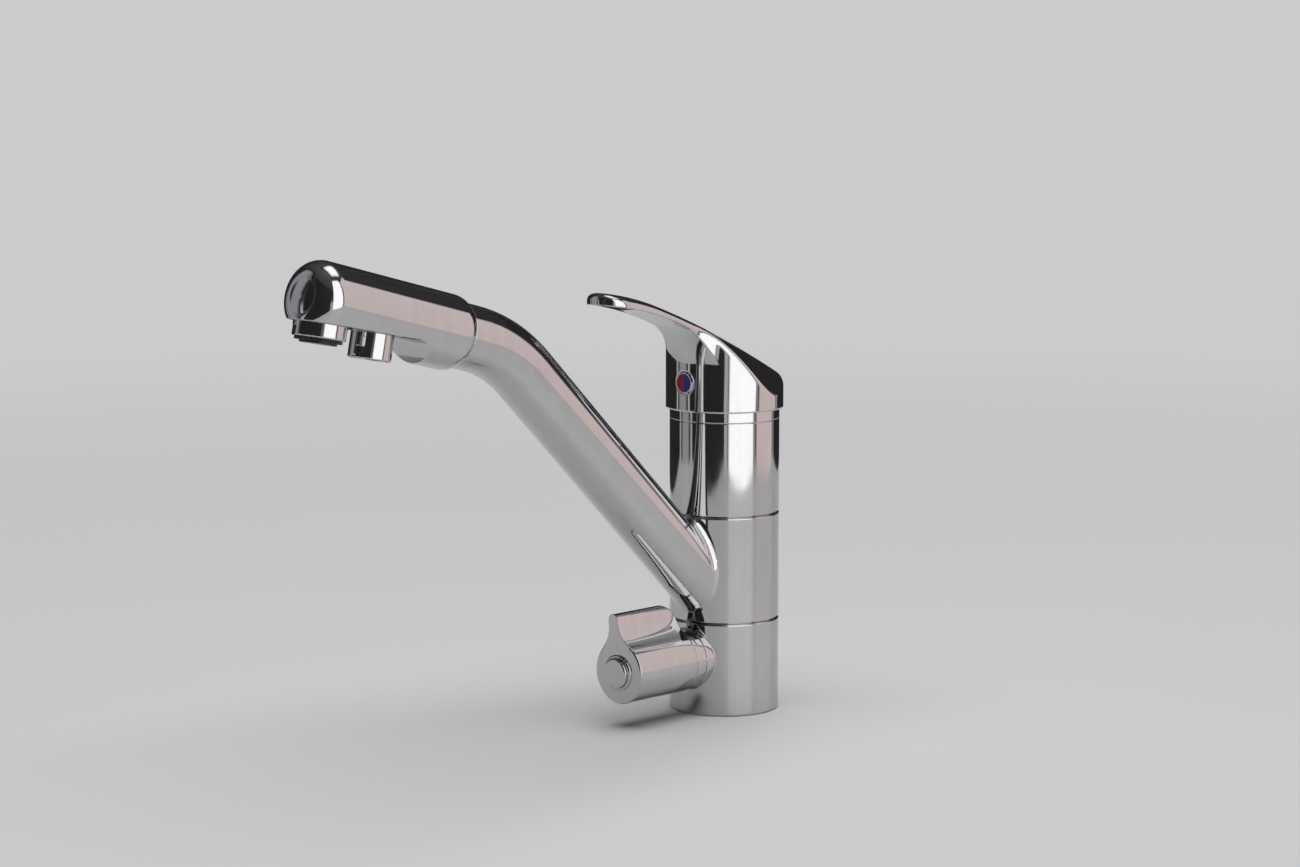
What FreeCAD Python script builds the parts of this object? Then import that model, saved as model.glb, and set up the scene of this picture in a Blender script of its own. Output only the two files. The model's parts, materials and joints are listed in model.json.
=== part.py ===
import FreeCAD, Part
import math
import os
import Sketcher
from FreeCAD import Placement, Rotation, Vector

# Three-in-one kitchen tap: a round column, a swivelling spout with two outlets, a mixer
# lever on top and a filtered-water knob low on the front.
# Millimetres. The origin is on the column's axis at its foot, +Z is up, and the spout,
# lever and knob point along -Y. Reach is counted from the column's axis towards -Y.

# Driving dimensions, lengths in mm and angles in degrees
SIZES = {
    # Column, from the foot up
    "column_radius": 23.75,
    "base_height": 40.4,
    "collar_height": 46.4,
    "body_height": 40.6,
    "cover_height": 4.2,
    "seam_gap": 0.1,
    "seam_chamfer": 0.6,
    "foot_rib": 1.2,
    "foot_recess_depth": 5.0,
    "seal_inset": 3.55,
    "seal_width": 2.2,
    "seal_thickness": 1.6,
    # Core that the spout turns on, with its galleries and rubber rings
    "collar_wall": 6.75,
    "core_clearance": 0.08,
    "neck_step": 2.0,
    "neck_length": 10.0,
    "ring_radius": 1.2,
    "ring_low": 6.6,
    "ring_middle": 24.1,
    "ring_high": 40.6,
    "gallery_depth": 2.6,
    "filter_gallery_width": 7.0,
    "mixed_gallery_height": 31.6,
    "mixed_gallery_width": 8.0,
    "slide_ring_gap": 2.0,
    "slide_ring_width": 3.0,
    "slide_ring_thickness": 1.0,
    # Water ways and the fixing stud under the foot
    "port_radius": 4.55,
    "port_depth": 8.0,
    "supply_spread": 8.5,
    "supply_back": 4.0,
    "supply_bore_radius": 3.0,
    "filter_port_reach": 5.5,
    "filter_feed_radius": 1.8,
    "stud_radius": 3.4,
    "stud_back": 11.0,
    "stud_depth": 14.0,
    "mixed_reach": 8.0,
    "mixed_bore_radius": 3.2,
    "filter_rise_depth": 4.4,
    "filter_rise_radius": 2.2,
    # Filter valve, on a level axis through the column's axis
    "valve_drop": 16.1,
    "boss_radius": 13.3,
    "boss_proud": 0.85,
    "valve_bore_radius": 9.0,
    "valve_floor": 2.0,
    "valve_feed_radius": 5.0,
    "valve_feed_depth": 4.0,
    "valve_seal_thickness": 1.5,
    "valve_disc_thickness": 3.0,
    "valve_disc_radius": 6.9,
    "valve_fit": 0.08,
    "valve_way_offset": 3.6,
    "valve_way_radius": 1.8,
    "valve_spindle_flange": 1.5,
    "valve_spindle_flange_radius": 6.0,
    "bonnet_waist_radius": 7.4,
    "bonnet_waist": 7.0,
    "bonnet_wall": 1.0,
    "bonnet_flange_radius": 13.0,
    "bonnet_flange_thickness": 5.6,
    "bonnet_neck_radius": 7.0,
    "bonnet_neck_length": 7.8,
    "valve_spindle_radius": 4.0,
    "spindle_proud": 13.0,
    # Knob of the filter valve
    "knob_radius": 13.4,
    "knob_gap": 0.2,
    "knob_length": 35.4,
    "knob_edge": 0.5,
    "knob_cavity_radius": 10.8,
    "knob_cavity_depth": 12.6,
    "knob_web_depth": 23.6,
    "knob_screw_radius": 2.0,
    "knob_screw_head_radius": 3.6,
    "knob_screw_head": 2.6,
    "knob_screw_length": 9.0,
    "knob_well_radius": 6.0,
    "wing_height": 25.0,
    "wing_half_width": 2.9,
    "wing_flank_round": 13.0,
    "wing_inset": 0.2,
    "wing_rear_round": 11.5,
    "wing_rear_run": 7.0,
    "button_radius": 6.4,
    "button_proud": 2.5,
    "button_plug": 4.0,
    "button_ring_radius": 7.7,
    "button_ring_proud": 0.9,
    "knob_rest_turn": 7.5,
    # Spout: collar, rising tube, bend and the seam with the head
    "tube_radius": 13.35,
    "tube_bore_radius": 10.4,
    "tube_slope": 43.8,
    "tube_foot_rise": 23.8,
    "tube_run": 151.6,
    "bend_radius": 67.6,
    "head_slope": 14.9,
    "seam_run": 27.0,
    "tube_start_depth": 16.0,
    "tube_bore_start": 5.2,
    "root_round": 3.4,
    "spigot_radius": 11.5,
    "spigot_length": 9.0,
    "spigot_fit": 0.05,
    "mixed_port_radius": 3.6,
    "hose_radius": 3.2,
    "hose_bore_radius": 2.0,
    "hose_start_depth": 3.0,
    "hose_bend_radius": 4.5,
    # Head of the spout, on its own axis, with a flat under it for the outlets
    "head_radius": 15.4,
    "head_length": 82.2,
    "nose_dome": 0.9,
    "nose_round": 8.4,
    "heel_length": 5.5,
    "heel_round": 8.0,
    "head_bore_radius": 8.4,
    "head_bore_lift": 4.2,
    "head_bore_wall": 14.2,
    "outlet_tilt": 12.0,
    "main_outlet_setback": 12.8,
    "main_outlet_depth": 8.6,
    "outlet_spacing": 27.2,
    "flat_rear": 13.0,
    "flat_run_out": 9.5,
    # Main outlet and its aerator
    "aerator_radius": 10.7,
    "aerator_height": 5.8,
    "aerator_neck_radius": 9.4,
    "aerator_neck_length": 4.0,
    "aerator_bore_radius": 8.2,
    "aerator_lip_radius": 7.4,
    "aerator_insert_proud": 2.2,
    "aerator_lip": 1.2,
    "mesh_rim": 0.8,
    "mesh_depth": 0.6,
    "aerator_turn": 30.0,
    "outlet_chamfer": 0.4,
    "aerator_flat_depth": 0.7,
    "aerator_flat_height": 4.0,
    "washer_thickness": 1.0,
    "washer_width": 2.0,
    # Filtered-water outlet
    "nozzle_radius": 8.6,
    "nozzle_height": 10.7,
    "nozzle_neck_radius": 5.6,
    "nozzle_neck_length": 2.0,
    "nozzle_mouth_radius": 6.6,
    "nozzle_mouth_depth": 3.0,
    "nozzle_slot_width": 2.2,
    "nozzle_slot_depth": 1.2,
    "nozzle_insert_gap": 0.3,
    "thread_fit": 0.05,
    # Mixer cartridge
    "body_wall": 6.15,
    "nut_step": 2.3,
    "cartridge_fit": 0.2,
    "cartridge_floor": 3.0,
    "cartridge_height": 21.0,
    "cartridge_wall": 2.1,
    "cartridge_seal_thickness": 1.2,
    "cartridge_shoulder": 3.5,
    "cartridge_collar_height": 4.0,
    "ceramic_fit": 0.2,
    "ceramic_thickness": 4.4,
    "ceramic_way_step": 0.6,
    "moving_disc_radius": 9.5,
    "moving_disc_thickness": 4.0,
    "disc_gap": 0.1,
    "rotor_flange_thickness": 2.7,
    "rotor_neck_radius": 9.6,
    "rotor_fit": 0.3,
    "rotor_neck_rise": 5.0,
    "rotor_slot_half_width": 4.25,
    "rotor_slot_front": 7.5,
    "rotor_slot_rear": 7.4,
    "tilt_rise": 6.2,
    "pin_radius": 1.5,
    "pin_half_length": 8.4,
    "pin_fit": 0.05,
    "stem_half_width": 4.0,
    "stem_shoulder_drop": 3.5,
    "stem_rise": 23.0,
    "stem_finger_radius": 1.8,
    "stem_finger_gap": 1.0,
    "disc_hole_radius": 2.8,
    "disc_hole_floor": 1.0,
    "nut_top_height": 2.0,
    "cover_wall": 2.0,
    "cover_dome_rise": 1.25,
    "cover_rim": 3.75,
    "cover_lip_width": 1.5,
    # Lever
    "skirt_wall": 1.35,
    "skirt_clearance": 0.35,
    "skirt_gap": 0.4,
    "skirt_cavity_height": 6.0,
    "cavity_shoulder_radius": 20.5,
    "cavity_shoulder_height": 14.0,
    "cavity_top_radius": 12.0,
    "cavity_top_height": 18.0,
    "blade_half_width": 10.5,
    "blade_reach": 79.1,
    "blade_under_overrun": 2.9,
    "blade_under_rise": 49.9,
    "neck_round": 19.4,
    "blade_root_slope": 23.0,
    "neck_rise": 20.5,
    "crest_tip_overrun": 10.9,
    "crest_tip_rise": 55.5,
    "crest_middle_reach": 47.7,
    "crest_middle_rise": 47.64,
    "crest_front_radius": 129.8,
    "crest_overrun": 4.55,
    "crest_rear_rise": 12.3,
    "crown_axis_drop": 31.5,
    "crown_axis_slope": 21.0,
    "blade_round": 2.5,
    "blade_tip_round": 9.5,
    "blade_root_round": 15.0,
    "lever_boss_radius": 8.0,
    "lever_boss_rise": 2.0,
    "socket_fit": 0.05,
    "badge_rise": 12.4,
    "badge_radius": 4.95,
    "badge_fit": 0.05,
    "badge_proud": 0.3,
    "badge_rim": 0.5,
    "badge_depth": 0.2,
    "badge_seat_depth": 3.05,
    "grub_radius": 2.5,
    "grub_length": 7.0,
    "grub_hex_radius": 1.4,
}

document = FreeCAD.newDocument("kitchen_tap")
sheet = document.addObject("Spreadsheet::Sheet", "tap")
for row, (alias, number) in enumerate(SIZES.items(), start=1):
    sheet.set(f"A{row}", alias)
    sheet.set(f"B{row}", str(number))
    sheet.setAlias(f"B{row}", alias)
document.recompute()

# How far a cut starts outside the face that it opens
OVERCUT = 1.0

# Names for places worked out from the sizes, used inside expressions
COLLAR_TOP = "(tap.base_height + tap.collar_height)"
BODY_TOP = f"({COLLAR_TOP} + tap.body_height)"
COVER_TOP = f"({BODY_TOP} + tap.cover_height)"
NECK_TOP = f"({COLLAR_TOP} + tap.neck_length)"
VALVE_HEIGHT = "(tap.base_height - tap.valve_drop)"
TUBE_FOOT = "(tap.base_height + tap.tube_foot_rise)"
CORE_RADIUS = "(tap.column_radius - tap.collar_wall)"
CORE_BORE = f"({CORE_RADIUS} + tap.core_clearance)"
NECK_RADIUS = f"({CORE_RADIUS} - tap.neck_step)"
SLIDE_RING_INNER = f"({CORE_RADIUS} + tap.slide_ring_gap)"
SEAL_INNER = "(tap.column_radius - tap.seal_inset)"
FOOT_RECESS_RADIUS = f"({SEAL_INNER} - tap.foot_rib)"
FILTER_RISE_REACH = f"({CORE_RADIUS} - tap.filter_rise_depth)"
FILTER_GALLERY = f"({TUBE_FOOT} - (tap.column_radius - {CORE_RADIUS}) * tan(tap.tube_slope))"
MIXED_GALLERY = "(tap.base_height + tap.mixed_gallery_height)"
CHAMBER_RADIUS = "(tap.column_radius - tap.body_wall)"
NUT_THREAD_RADIUS = f"({CHAMBER_RADIUS} + tap.nut_step)"
CARTRIDGE_TOP = f"({NECK_TOP} + tap.cartridge_height)"
CARTRIDGE_RADIUS = f"({CHAMBER_RADIUS} - tap.cartridge_fit)"
CARTRIDGE_COLLAR_RADIUS = f"({CARTRIDGE_RADIUS} - tap.cartridge_shoulder)"
CARTRIDGE_INNER = f"({CARTRIDGE_RADIUS} - tap.cartridge_wall)"
CERAMIC_RADIUS = f"({CARTRIDGE_INNER} - tap.ceramic_fit)"
DISC_FLOOR = f"({NECK_TOP} + tap.cartridge_floor + tap.cartridge_seal_thickness)"
DISC_TOP = f"({DISC_FLOOR} + tap.ceramic_thickness)"
MOVING_TOP = f"({DISC_TOP} + tap.moving_disc_thickness)"
ROTOR_FLOOR = f"({MOVING_TOP} + tap.disc_gap)"
TILT_HEIGHT = f"({CARTRIDGE_TOP} + tap.tilt_rise)"
ROTOR_TOP = f"({TILT_HEIGHT} + tap.rotor_neck_rise)"
STEM_SHOULDER = f"({TILT_HEIGHT} - tap.stem_shoulder_drop)"
STEM_TOP = f"({TILT_HEIGHT} + tap.stem_rise)"
FINGER_END = f"({DISC_TOP} + tap.disc_hole_floor + tap.stem_finger_gap)"
COVER_DOME_RADIUS = "(tap.column_radius + tap.cover_dome_rise)"
COVER_OPENING_RADIUS = "(tap.column_radius - tap.cover_rim)"
SKIRT_INNER = "(tap.column_radius + tap.skirt_clearance)"
SKIRT_RADIUS = f"({SKIRT_INNER} + tap.skirt_wall)"
SKIRT_BOTTOM = f"({COVER_TOP} + tap.skirt_gap)"
LEVER_BOSS = f"({SKIRT_BOTTOM} + tap.lever_boss_rise)"
LEVER_NECK = f"({SKIRT_BOTTOM} + tap.neck_rise)"
UNDER_REACH = "(tap.blade_reach + tap.blade_under_overrun)"
UNDER_HEIGHT = f"({SKIRT_BOTTOM} + tap.blade_under_rise)"
CREST_TIP_REACH = "(tap.blade_reach + tap.crest_tip_overrun)"
CREST_TIP = f"({SKIRT_BOTTOM} + tap.crest_tip_rise)"
CREST_MIDDLE = f"({SKIRT_BOTTOM} + tap.crest_middle_rise)"
CREST_REAR_REACH = f"({SKIRT_RADIUS} + tap.crest_overrun)"
CREST_REAR = f"({SKIRT_BOTTOM} + tap.crest_rear_rise)"
BADGE_HEIGHT = f"({SKIRT_BOTTOM} + tap.badge_rise)"
BADGE_SEAT = f"({SKIRT_RADIUS} - tap.badge_seat_depth)"
BOSS_FACE = "(tap.column_radius + tap.boss_proud)"
BONNET_FLANGE = f"({BOSS_FACE} + tap.bonnet_flange_thickness)"
BONNET_END = f"({BONNET_FLANGE} + tap.bonnet_neck_length)"
SPINDLE_END = f"({BONNET_END} + tap.spindle_proud)"
KNOB_REAR = f"({BONNET_FLANGE} + tap.knob_gap)"
KNOB_FACE = f"({KNOB_REAR} + tap.knob_length)"
KNOB_CAVITY_END = f"({KNOB_REAR} + tap.knob_cavity_depth)"
KNOB_WEB_END = f"({KNOB_REAR} + tap.knob_web_depth)"
KNOB_SCREW_END = f"({KNOB_WEB_END} - tap.knob_screw_length)"
WING_REAR = f"({KNOB_REAR} + tap.wing_inset)"
BEND_REACH = "(tap.column_radius + tap.tube_run * cos(tap.tube_slope))"
BEND_HEIGHT = f"({TUBE_FOOT} + tap.tube_run * sin(tap.tube_slope))"
BEND_TANGENT = "(tap.bend_radius * tan((tap.tube_slope - tap.head_slope) / 2))"
SEAM_REACH = f"({BEND_REACH} + tap.seam_run * cos(tap.head_slope))"
SEAM_HEIGHT = f"({BEND_HEIGHT} + tap.seam_run * sin(tap.head_slope))"
FLAT_LEAN = "(tap.head_slope - tap.outlet_tilt)"
VALVE_SEAL_FRONT = "(tap.valve_floor + tap.valve_seal_thickness)"
VALVE_DISC_FRONT = f"({VALVE_SEAL_FRONT} + tap.valve_disc_thickness)"
VALVE_ROTOR_FRONT = f"({VALVE_DISC_FRONT} + tap.valve_disc_thickness)"
NOSE_RADIUS = (
    "((pow(tap.head_radius - tap.nose_round; 2) + pow(tap.nose_dome; 2)) / (2 * tap.nose_dome))"
)
HEAD_ANGLE = "90 - tap.head_slope"
OUTLET_ANGLE = "180 - tap.outlet_tilt"
MAIN_OUTLET = "(tap.head_length - tap.main_outlet_setback)"
HEAD_BORE_END = "(tap.head_length - tap.head_bore_wall)"
NOZZLE_ALONG = f"({MAIN_OUTLET} - tap.outlet_spacing * cos({FLAT_LEAN}))"
NOZZLE_DEPTH = f"(tap.main_outlet_depth - tap.outlet_spacing * sin({FLAT_LEAN}))"
FLAT_REAR = f"({NOZZLE_ALONG} - tap.flat_rear)"
FLAT_DEPTH_REAR = (
    f"(tap.main_outlet_depth - ({MAIN_OUTLET} - {FLAT_REAR}) * tan({FLAT_LEAN}))"
)
FLAT_DEPTH_NOSE = (
    "(tap.main_outlet_depth"
    f" + (tap.head_length + {OVERCUT} - {MAIN_OUTLET}) * tan({FLAT_LEAN}))"
)
HOSE_TURN = f"({NOZZLE_ALONG} + {NOZZLE_DEPTH} * tan({FLAT_LEAN}))"
HOSE_TURN_DEPTH = f"({NOZZLE_DEPTH} / cos({FLAT_LEAN}))"
HOSE_TANGENT = f"(tap.hose_bend_radius * tan((90 + {FLAT_LEAN}) / 2))"
FLANK_REACH = "(tap.wing_half_width + tap.wing_flank_round)"
FLANK_RUN = "(tap.knob_radius + tap.wing_flank_round)"
FLANK_TOP = f"sqrt(pow({FLANK_RUN}; 2) - pow({FLANK_REACH}; 2))"
FLANK_ACROSS = f"({FLANK_REACH} * tap.knob_radius / {FLANK_RUN})"
FLANK_UP = f"({FLANK_TOP} * tap.knob_radius / {FLANK_RUN})"


def value(expression):
    """The number that an expression on the sheet gives now."""
    return float(sheet.evalExpression(expression))


def new_body(label):
    """An empty body whose label names its file."""
    body = document.addObject("PartDesign::Body", label)
    body.Label = label
    return body


def origin_plane(body, role):
    """One of the body's own three base planes."""
    return next(plane for plane in body.Origin.OriginFeatures if plane.Role == role)


def new_sketch(body, name, role, offset=None):
    """An empty sketch on a base plane, lifted off it by an expression."""
    sketch = body.newObject("Sketcher::SketchObject", name)
    sketch.AttachmentSupport = [(origin_plane(body, role), "")]
    sketch.MapMode = "FlatFace"
    if offset:
        sketch.setExpression("AttachmentOffset.Base.z", offset)
    return sketch


def bind(sketch, kind, *links, size):
    """A sketch constraint whose size is an expression."""
    index = sketch.addConstraint(Sketcher.Constraint(kind, *links, value(size)))
    sketch.setExpression(f"Constraints[{index}]", size)


def pin_point(sketch, geometry, end, across, along):
    """Tie one end of a sketch line or arc to two expressions."""
    bind(sketch, "DistanceX", -1, 1, geometry, end, size=across)
    bind(sketch, "DistanceY", -1, 1, geometry, end, size=along)


def arc_between(start, finish, radius):
    """The short arc between two points; a positive radius turns it anticlockwise."""
    chord = finish - start
    left = Vector(-chord.y, chord.x, 0).normalize()
    middle = (start + finish) * 0.5
    depth = math.sqrt(max(radius * radius - chord.Length * chord.Length / 4, 0))
    centre = middle + left * math.copysign(depth, radius)
    first, second = (start, finish) if radius > 0 else (finish, start)
    angles = [math.atan2(point.y - centre.y, point.x - centre.x) for point in (first, second)]
    circle = Part.Circle(centre, Vector(0, 0, 1), abs(radius))
    return Part.ArcOfCircle(circle, angles[0], angles[1])


def chain(sketch, corners, closed=True):
    """Lines and arcs through corners, each (across, along) or (across, along, radius)."""
    places = [Vector(value(corner[0]), value(corner[1]), 0) for corner in corners]
    count = len(corners) if closed else len(corners) - 1
    ends = []
    for index in range(count):
        start = places[index]
        finish = places[(index + 1) % len(places)]
        radius = value(corners[index][2]) if len(corners[index]) == 3 else 0
        if radius:
            geometry = sketch.addGeometry(arc_between(start, finish, radius))
        else:
            geometry = sketch.addGeometry(Part.LineSegment(start, finish))
        ends.append((geometry, 2, 1) if radius < 0 else (geometry, 1, 2))
    for index in range(count if closed else count - 1):
        this, following = ends[index], ends[(index + 1) % count]
        sketch.addConstraint(
            Sketcher.Constraint("Coincident", this[0], this[2], following[0], following[1])
        )
    for index, corner in enumerate(corners):
        geometry, start_end, finish_end = ends[min(index, count - 1)]
        end = start_end if index < count else finish_end
        pin_point(sketch, geometry, end, corner[0], corner[1])
        if index < count and len(corner) == 3:
            size = f"abs({corner[2]})"
            bind(sketch, "Radius", geometry, size=size)
    return sketch


def turn(body, name, corners, role="XZ_Plane", cut=False):
    """Revolve a closed outline round the body's own Z axis."""
    sketch = chain(new_sketch(body, name + "_outline", role), corners)
    kind = "PartDesign::Groove" if cut else "PartDesign::Revolution"
    feature = body.newObject(kind, name)
    feature.Profile = sketch
    feature.ReferenceAxis = (sketch, ["V_Axis"])
    feature.Angle = 360
    return feature


def turned_piece(label, corners):
    """A piece that is one turned shape."""
    body = new_body(label)
    turn(body, label + "_turned", corners)
    return body


def extrude(body, name, sketch, length, cut=False, both=False):
    """Pad or pocket along the sketch's normal, or to both sides of it."""
    feature = body.newObject("PartDesign::Pocket" if cut else "PartDesign::Pad", name)
    feature.Profile = sketch
    if both:
        feature.SideType = "Symmetric"
    elif cut:
        feature.Reversed = True
    feature.setExpression("Length", length)
    return feature


def disc(body, name, role, centre, radius, start, length, cut=False):
    """A round pad or hole whose axis is the plane's normal."""
    sketch = new_sketch(body, name + "_circle", role, start)
    place = Vector(value(centre[0]), value(centre[1]), 0)
    circle = Part.Circle(place, Vector(0, 0, 1), value(radius))
    geometry = sketch.addGeometry(circle)
    pin_point(sketch, geometry, 3, centre[0], centre[1])
    bind(sketch, "Radius", geometry, size=radius)
    return extrude(body, name, sketch, length, cut=cut)


def block(body, name, role, low, high, start, length, cut=False, both=False):
    """A rectangular pad or pocket between two corners of the plane."""
    corners = [(low[0], low[1]), (high[0], low[1]), (high[0], high[1]), (low[0], high[1])]
    sketch = chain(new_sketch(body, name + "_rectangle", role, start), corners)
    return extrude(body, name, sketch, length, cut=cut, both=both)


def middle_of(edge):
    """The point half way along an edge."""
    return edge.valueAt((edge.FirstParameter + edge.LastParameter) / 2)


def round_edges(body, name, base, radius, wanted):
    """Fillet the edges of a feature that a test on edge and middle point picks."""
    document.recompute()
    names = [
        f"Edge{number}"
        for number, edge in enumerate(base.Shape.Edges, start=1)
        if wanted(edge, middle_of(edge))
    ]
    fillet = body.newObject("PartDesign::Fillet", name)
    fillet.Base = (base, names)
    fillet.setExpression("Radius", radius)
    return fillet


def place_on_valve(item, turned="0"):
    """Stand a piece on the valve's level axis, its own Z pointing out to the front."""
    level = Rotation(Vector(1, 0, 0), 90)
    item.Placement = Placement(
        Vector(0, 0, 0), level.multiply(Rotation(Vector(0, 0, 1), value(turned)))
    )
    item.setExpression("Placement.Base.z", VALVE_HEIGHT)


def place_on_head(item, along, depth, angle):
    """Stand a piece on the head's axis, at a run along it and a depth below it."""
    reach = f"({along} * cos(tap.head_slope) + ({depth}) * sin(tap.head_slope))"
    rise = f"({along} * sin(tap.head_slope) - ({depth}) * cos(tap.head_slope))"
    item.Placement = Placement(Vector(0, 0, 0), Rotation(Vector(1, 0, 0), value(angle)))
    item.setExpression("Placement.Rotation.Angle", angle)
    item.setExpression("Placement.Base.y", f"-({SEAM_REACH} + {reach})")
    item.setExpression("Placement.Base.z", f"{SEAM_HEIGHT} + {rise}")


def ring(label, radius, section, height):
    """A rubber ring lying level round the column's axis."""
    torus = document.addObject("Part::Torus", label)
    torus.Label = label
    torus.setExpression("Radius1", radius)
    torus.setExpression("Radius2", section)
    torus.setExpression("Placement.Base.z", height)
    return torus


pieces = []


# Base: the foot and the core above it, bored for hot, cold, mixed and filtered water
base_body = new_body("base_body")
RING_GROOVE = f"({CORE_RADIUS} - 2 * tap.ring_radius)"
GALLERY_FLOOR = f"({CORE_RADIUS} - tap.gallery_depth)"
core_profile = [
    ("0", "tap.foot_recess_depth"),
    (FOOT_RECESS_RADIUS, "tap.foot_recess_depth"),
    (FOOT_RECESS_RADIUS, "0"),
    (SEAL_INNER, "0"),
    (SEAL_INNER, "tap.seal_thickness"),
    (f"{SEAL_INNER} + tap.seal_width", "tap.seal_thickness"),
    (f"{SEAL_INNER} + tap.seal_width", "0"),
    ("tap.column_radius - tap.seam_chamfer", "0"),
    ("tap.column_radius", "tap.seam_chamfer"),
    ("tap.column_radius", "tap.base_height - tap.seam_chamfer"),
    ("tap.column_radius - tap.seam_chamfer", "tap.base_height"),
    (f"{SLIDE_RING_INNER} + tap.slide_ring_width", "tap.base_height"),
    (f"{SLIDE_RING_INNER} + tap.slide_ring_width", "tap.base_height - tap.slide_ring_thickness"),
    (SLIDE_RING_INNER, "tap.base_height - tap.slide_ring_thickness"),
    (SLIDE_RING_INNER, "tap.base_height"),
    (CORE_RADIUS, "tap.base_height"),
]


def core_groove(centre, half_width, floor):
    """Four corners of a groove round the core."""
    return [
        (CORE_RADIUS, f"{centre} - {half_width}"),
        (floor, f"{centre} - {half_width}"),
        (floor, f"{centre} + {half_width}"),
        (CORE_RADIUS, f"{centre} + {half_width}"),
    ]


for groove_centre, groove_half, groove_floor in (
    ("tap.base_height + tap.ring_low", "tap.ring_radius", RING_GROOVE),
    (FILTER_GALLERY, "tap.filter_gallery_width / 2", GALLERY_FLOOR),
    ("tap.base_height + tap.ring_middle", "tap.ring_radius", RING_GROOVE),
    (MIXED_GALLERY, "tap.mixed_gallery_width / 2", GALLERY_FLOOR),
    ("tap.base_height + tap.ring_high", "tap.ring_radius", RING_GROOVE),
):
    core_profile += core_groove(groove_centre, groove_half, groove_floor)
core_profile += [
    (CORE_RADIUS, COLLAR_TOP),
    (NECK_RADIUS, COLLAR_TOP),
    (NECK_RADIUS, NECK_TOP),
    ("0", NECK_TOP),
]
turn(base_body, "base_turned", core_profile)
disc(base_body, "valve_boss", "XZ_Plane", ("0", VALVE_HEIGHT), "tap.boss_radius",
     CORE_RADIUS, f"{BOSS_FACE} - {CORE_RADIUS}")
disc(base_body, "valve_bore", "XZ_Plane", ("0", VALVE_HEIGHT), "tap.valve_bore_radius",
     "tap.valve_floor", BOSS_FACE, cut=True)
disc(base_body, "valve_feed", "XZ_Plane", ("0", VALVE_HEIGHT), "tap.valve_feed_radius",
     "tap.valve_floor - tap.valve_feed_depth", f"tap.valve_feed_depth + {OVERCUT}", cut=True)
for side, sign in (("hot", "-"), ("cold", "")):
    centre = (f"{sign}tap.supply_spread", "tap.supply_back")
    disc(base_body, f"{side}_port", "XY_Plane", centre, "tap.port_radius",
         "tap.foot_recess_depth", "tap.port_depth", cut=True)
    disc(base_body, f"{side}_bore", "XY_Plane", centre, "tap.supply_bore_radius",
         "tap.foot_recess_depth", f"{NECK_TOP}", cut=True)
disc(base_body, "filter_port", "XY_Plane", ("0", "-tap.filter_port_reach"), "tap.port_radius",
     "tap.foot_recess_depth", "tap.port_depth", cut=True)
disc(base_body, "filter_feed", "XY_Plane", ("0", "0"), "tap.filter_feed_radius",
     f"tap.foot_recess_depth + tap.port_depth - {OVERCUT}",
     f"{VALVE_HEIGHT} - tap.foot_recess_depth - tap.port_depth + {OVERCUT}", cut=True)
disc(base_body, "stud_hole", "XY_Plane", ("0", "tap.stud_back"), "tap.stud_radius",
     "tap.foot_recess_depth", "tap.stud_depth", cut=True)
disc(base_body, "filter_rise", "XY_Plane", ("0", f"-{FILTER_RISE_REACH}"),
     "tap.filter_rise_radius", VALVE_HEIGHT, f"{FILTER_GALLERY} - {VALVE_HEIGHT}",
     cut=True)
disc(base_body, "filter_cross_bore", "XZ_Plane", ("0", FILTER_GALLERY), "tap.filter_rise_radius",
     FILTER_RISE_REACH, CORE_RADIUS, cut=True)
disc(base_body, "mixed_bore", "XY_Plane", ("0", "-tap.mixed_reach"), "tap.mixed_bore_radius",
     MIXED_GALLERY, f"{NECK_TOP}", cut=True)
disc(base_body, "mixed_cross_bore", "XZ_Plane", ("0", MIXED_GALLERY), "tap.mixed_bore_radius",
     "tap.mixed_reach", CORE_RADIUS, cut=True)
pieces.append(base_body)

# Flat gasket under the foot
pieces.append(turned_piece("base_seal", [
    (SEAL_INNER, "0"),
    (f"{SEAL_INNER} + tap.seal_width", "0"),
    (f"{SEAL_INNER} + tap.seal_width", "tap.seal_thickness"),
    (SEAL_INNER, "tap.seal_thickness"),
]))

# Slide rings above and below the turning collar
for label, low in (
    ("lower_slide_ring", "(tap.base_height - tap.slide_ring_thickness)"),
    ("upper_slide_ring", COLLAR_TOP),
):
    high = f"{low} + tap.slide_ring_thickness"
    pieces.append(turned_piece(label, [
        (SLIDE_RING_INNER, low),
        (f"{SLIDE_RING_INNER} + tap.slide_ring_width", low),
        (f"{SLIDE_RING_INNER} + tap.slide_ring_width", high),
        (SLIDE_RING_INNER, high),
    ]))

# Rubber rings that part the two waters on the core
for label, level in (
    ("core_ring_low", "tap.ring_low"),
    ("core_ring_middle", "tap.ring_middle"),
    ("core_ring_high", "tap.ring_high"),
):
    pieces.append(ring(label, f"{CORE_RADIUS} - tap.ring_radius", "tap.ring_radius",
                       f"tap.base_height + {level}"))

# Upper body, screwed on the core's neck, with the cartridge's chamber
pieces.append(turned_piece("upper_body", [
    (NECK_RADIUS, COLLAR_TOP),
    (SLIDE_RING_INNER, COLLAR_TOP),
    (SLIDE_RING_INNER, f"{COLLAR_TOP} + tap.slide_ring_thickness"),
    (f"{SLIDE_RING_INNER} + tap.slide_ring_width", f"{COLLAR_TOP} + tap.slide_ring_thickness"),
    (f"{SLIDE_RING_INNER} + tap.slide_ring_width", COLLAR_TOP),
    ("tap.column_radius - tap.seam_chamfer", COLLAR_TOP),
    ("tap.column_radius", f"{COLLAR_TOP} + tap.seam_chamfer"),
    ("tap.column_radius", f"{BODY_TOP} - tap.seam_chamfer / 3"),
    ("tap.column_radius - tap.seam_chamfer / 3", BODY_TOP),
    (NUT_THREAD_RADIUS, BODY_TOP),
    (NUT_THREAD_RADIUS, CARTRIDGE_TOP),
    (CHAMBER_RADIUS, CARTRIDGE_TOP),
    (CHAMBER_RADIUS, NECK_TOP),
    (NECK_RADIUS, NECK_TOP),
]))

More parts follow.
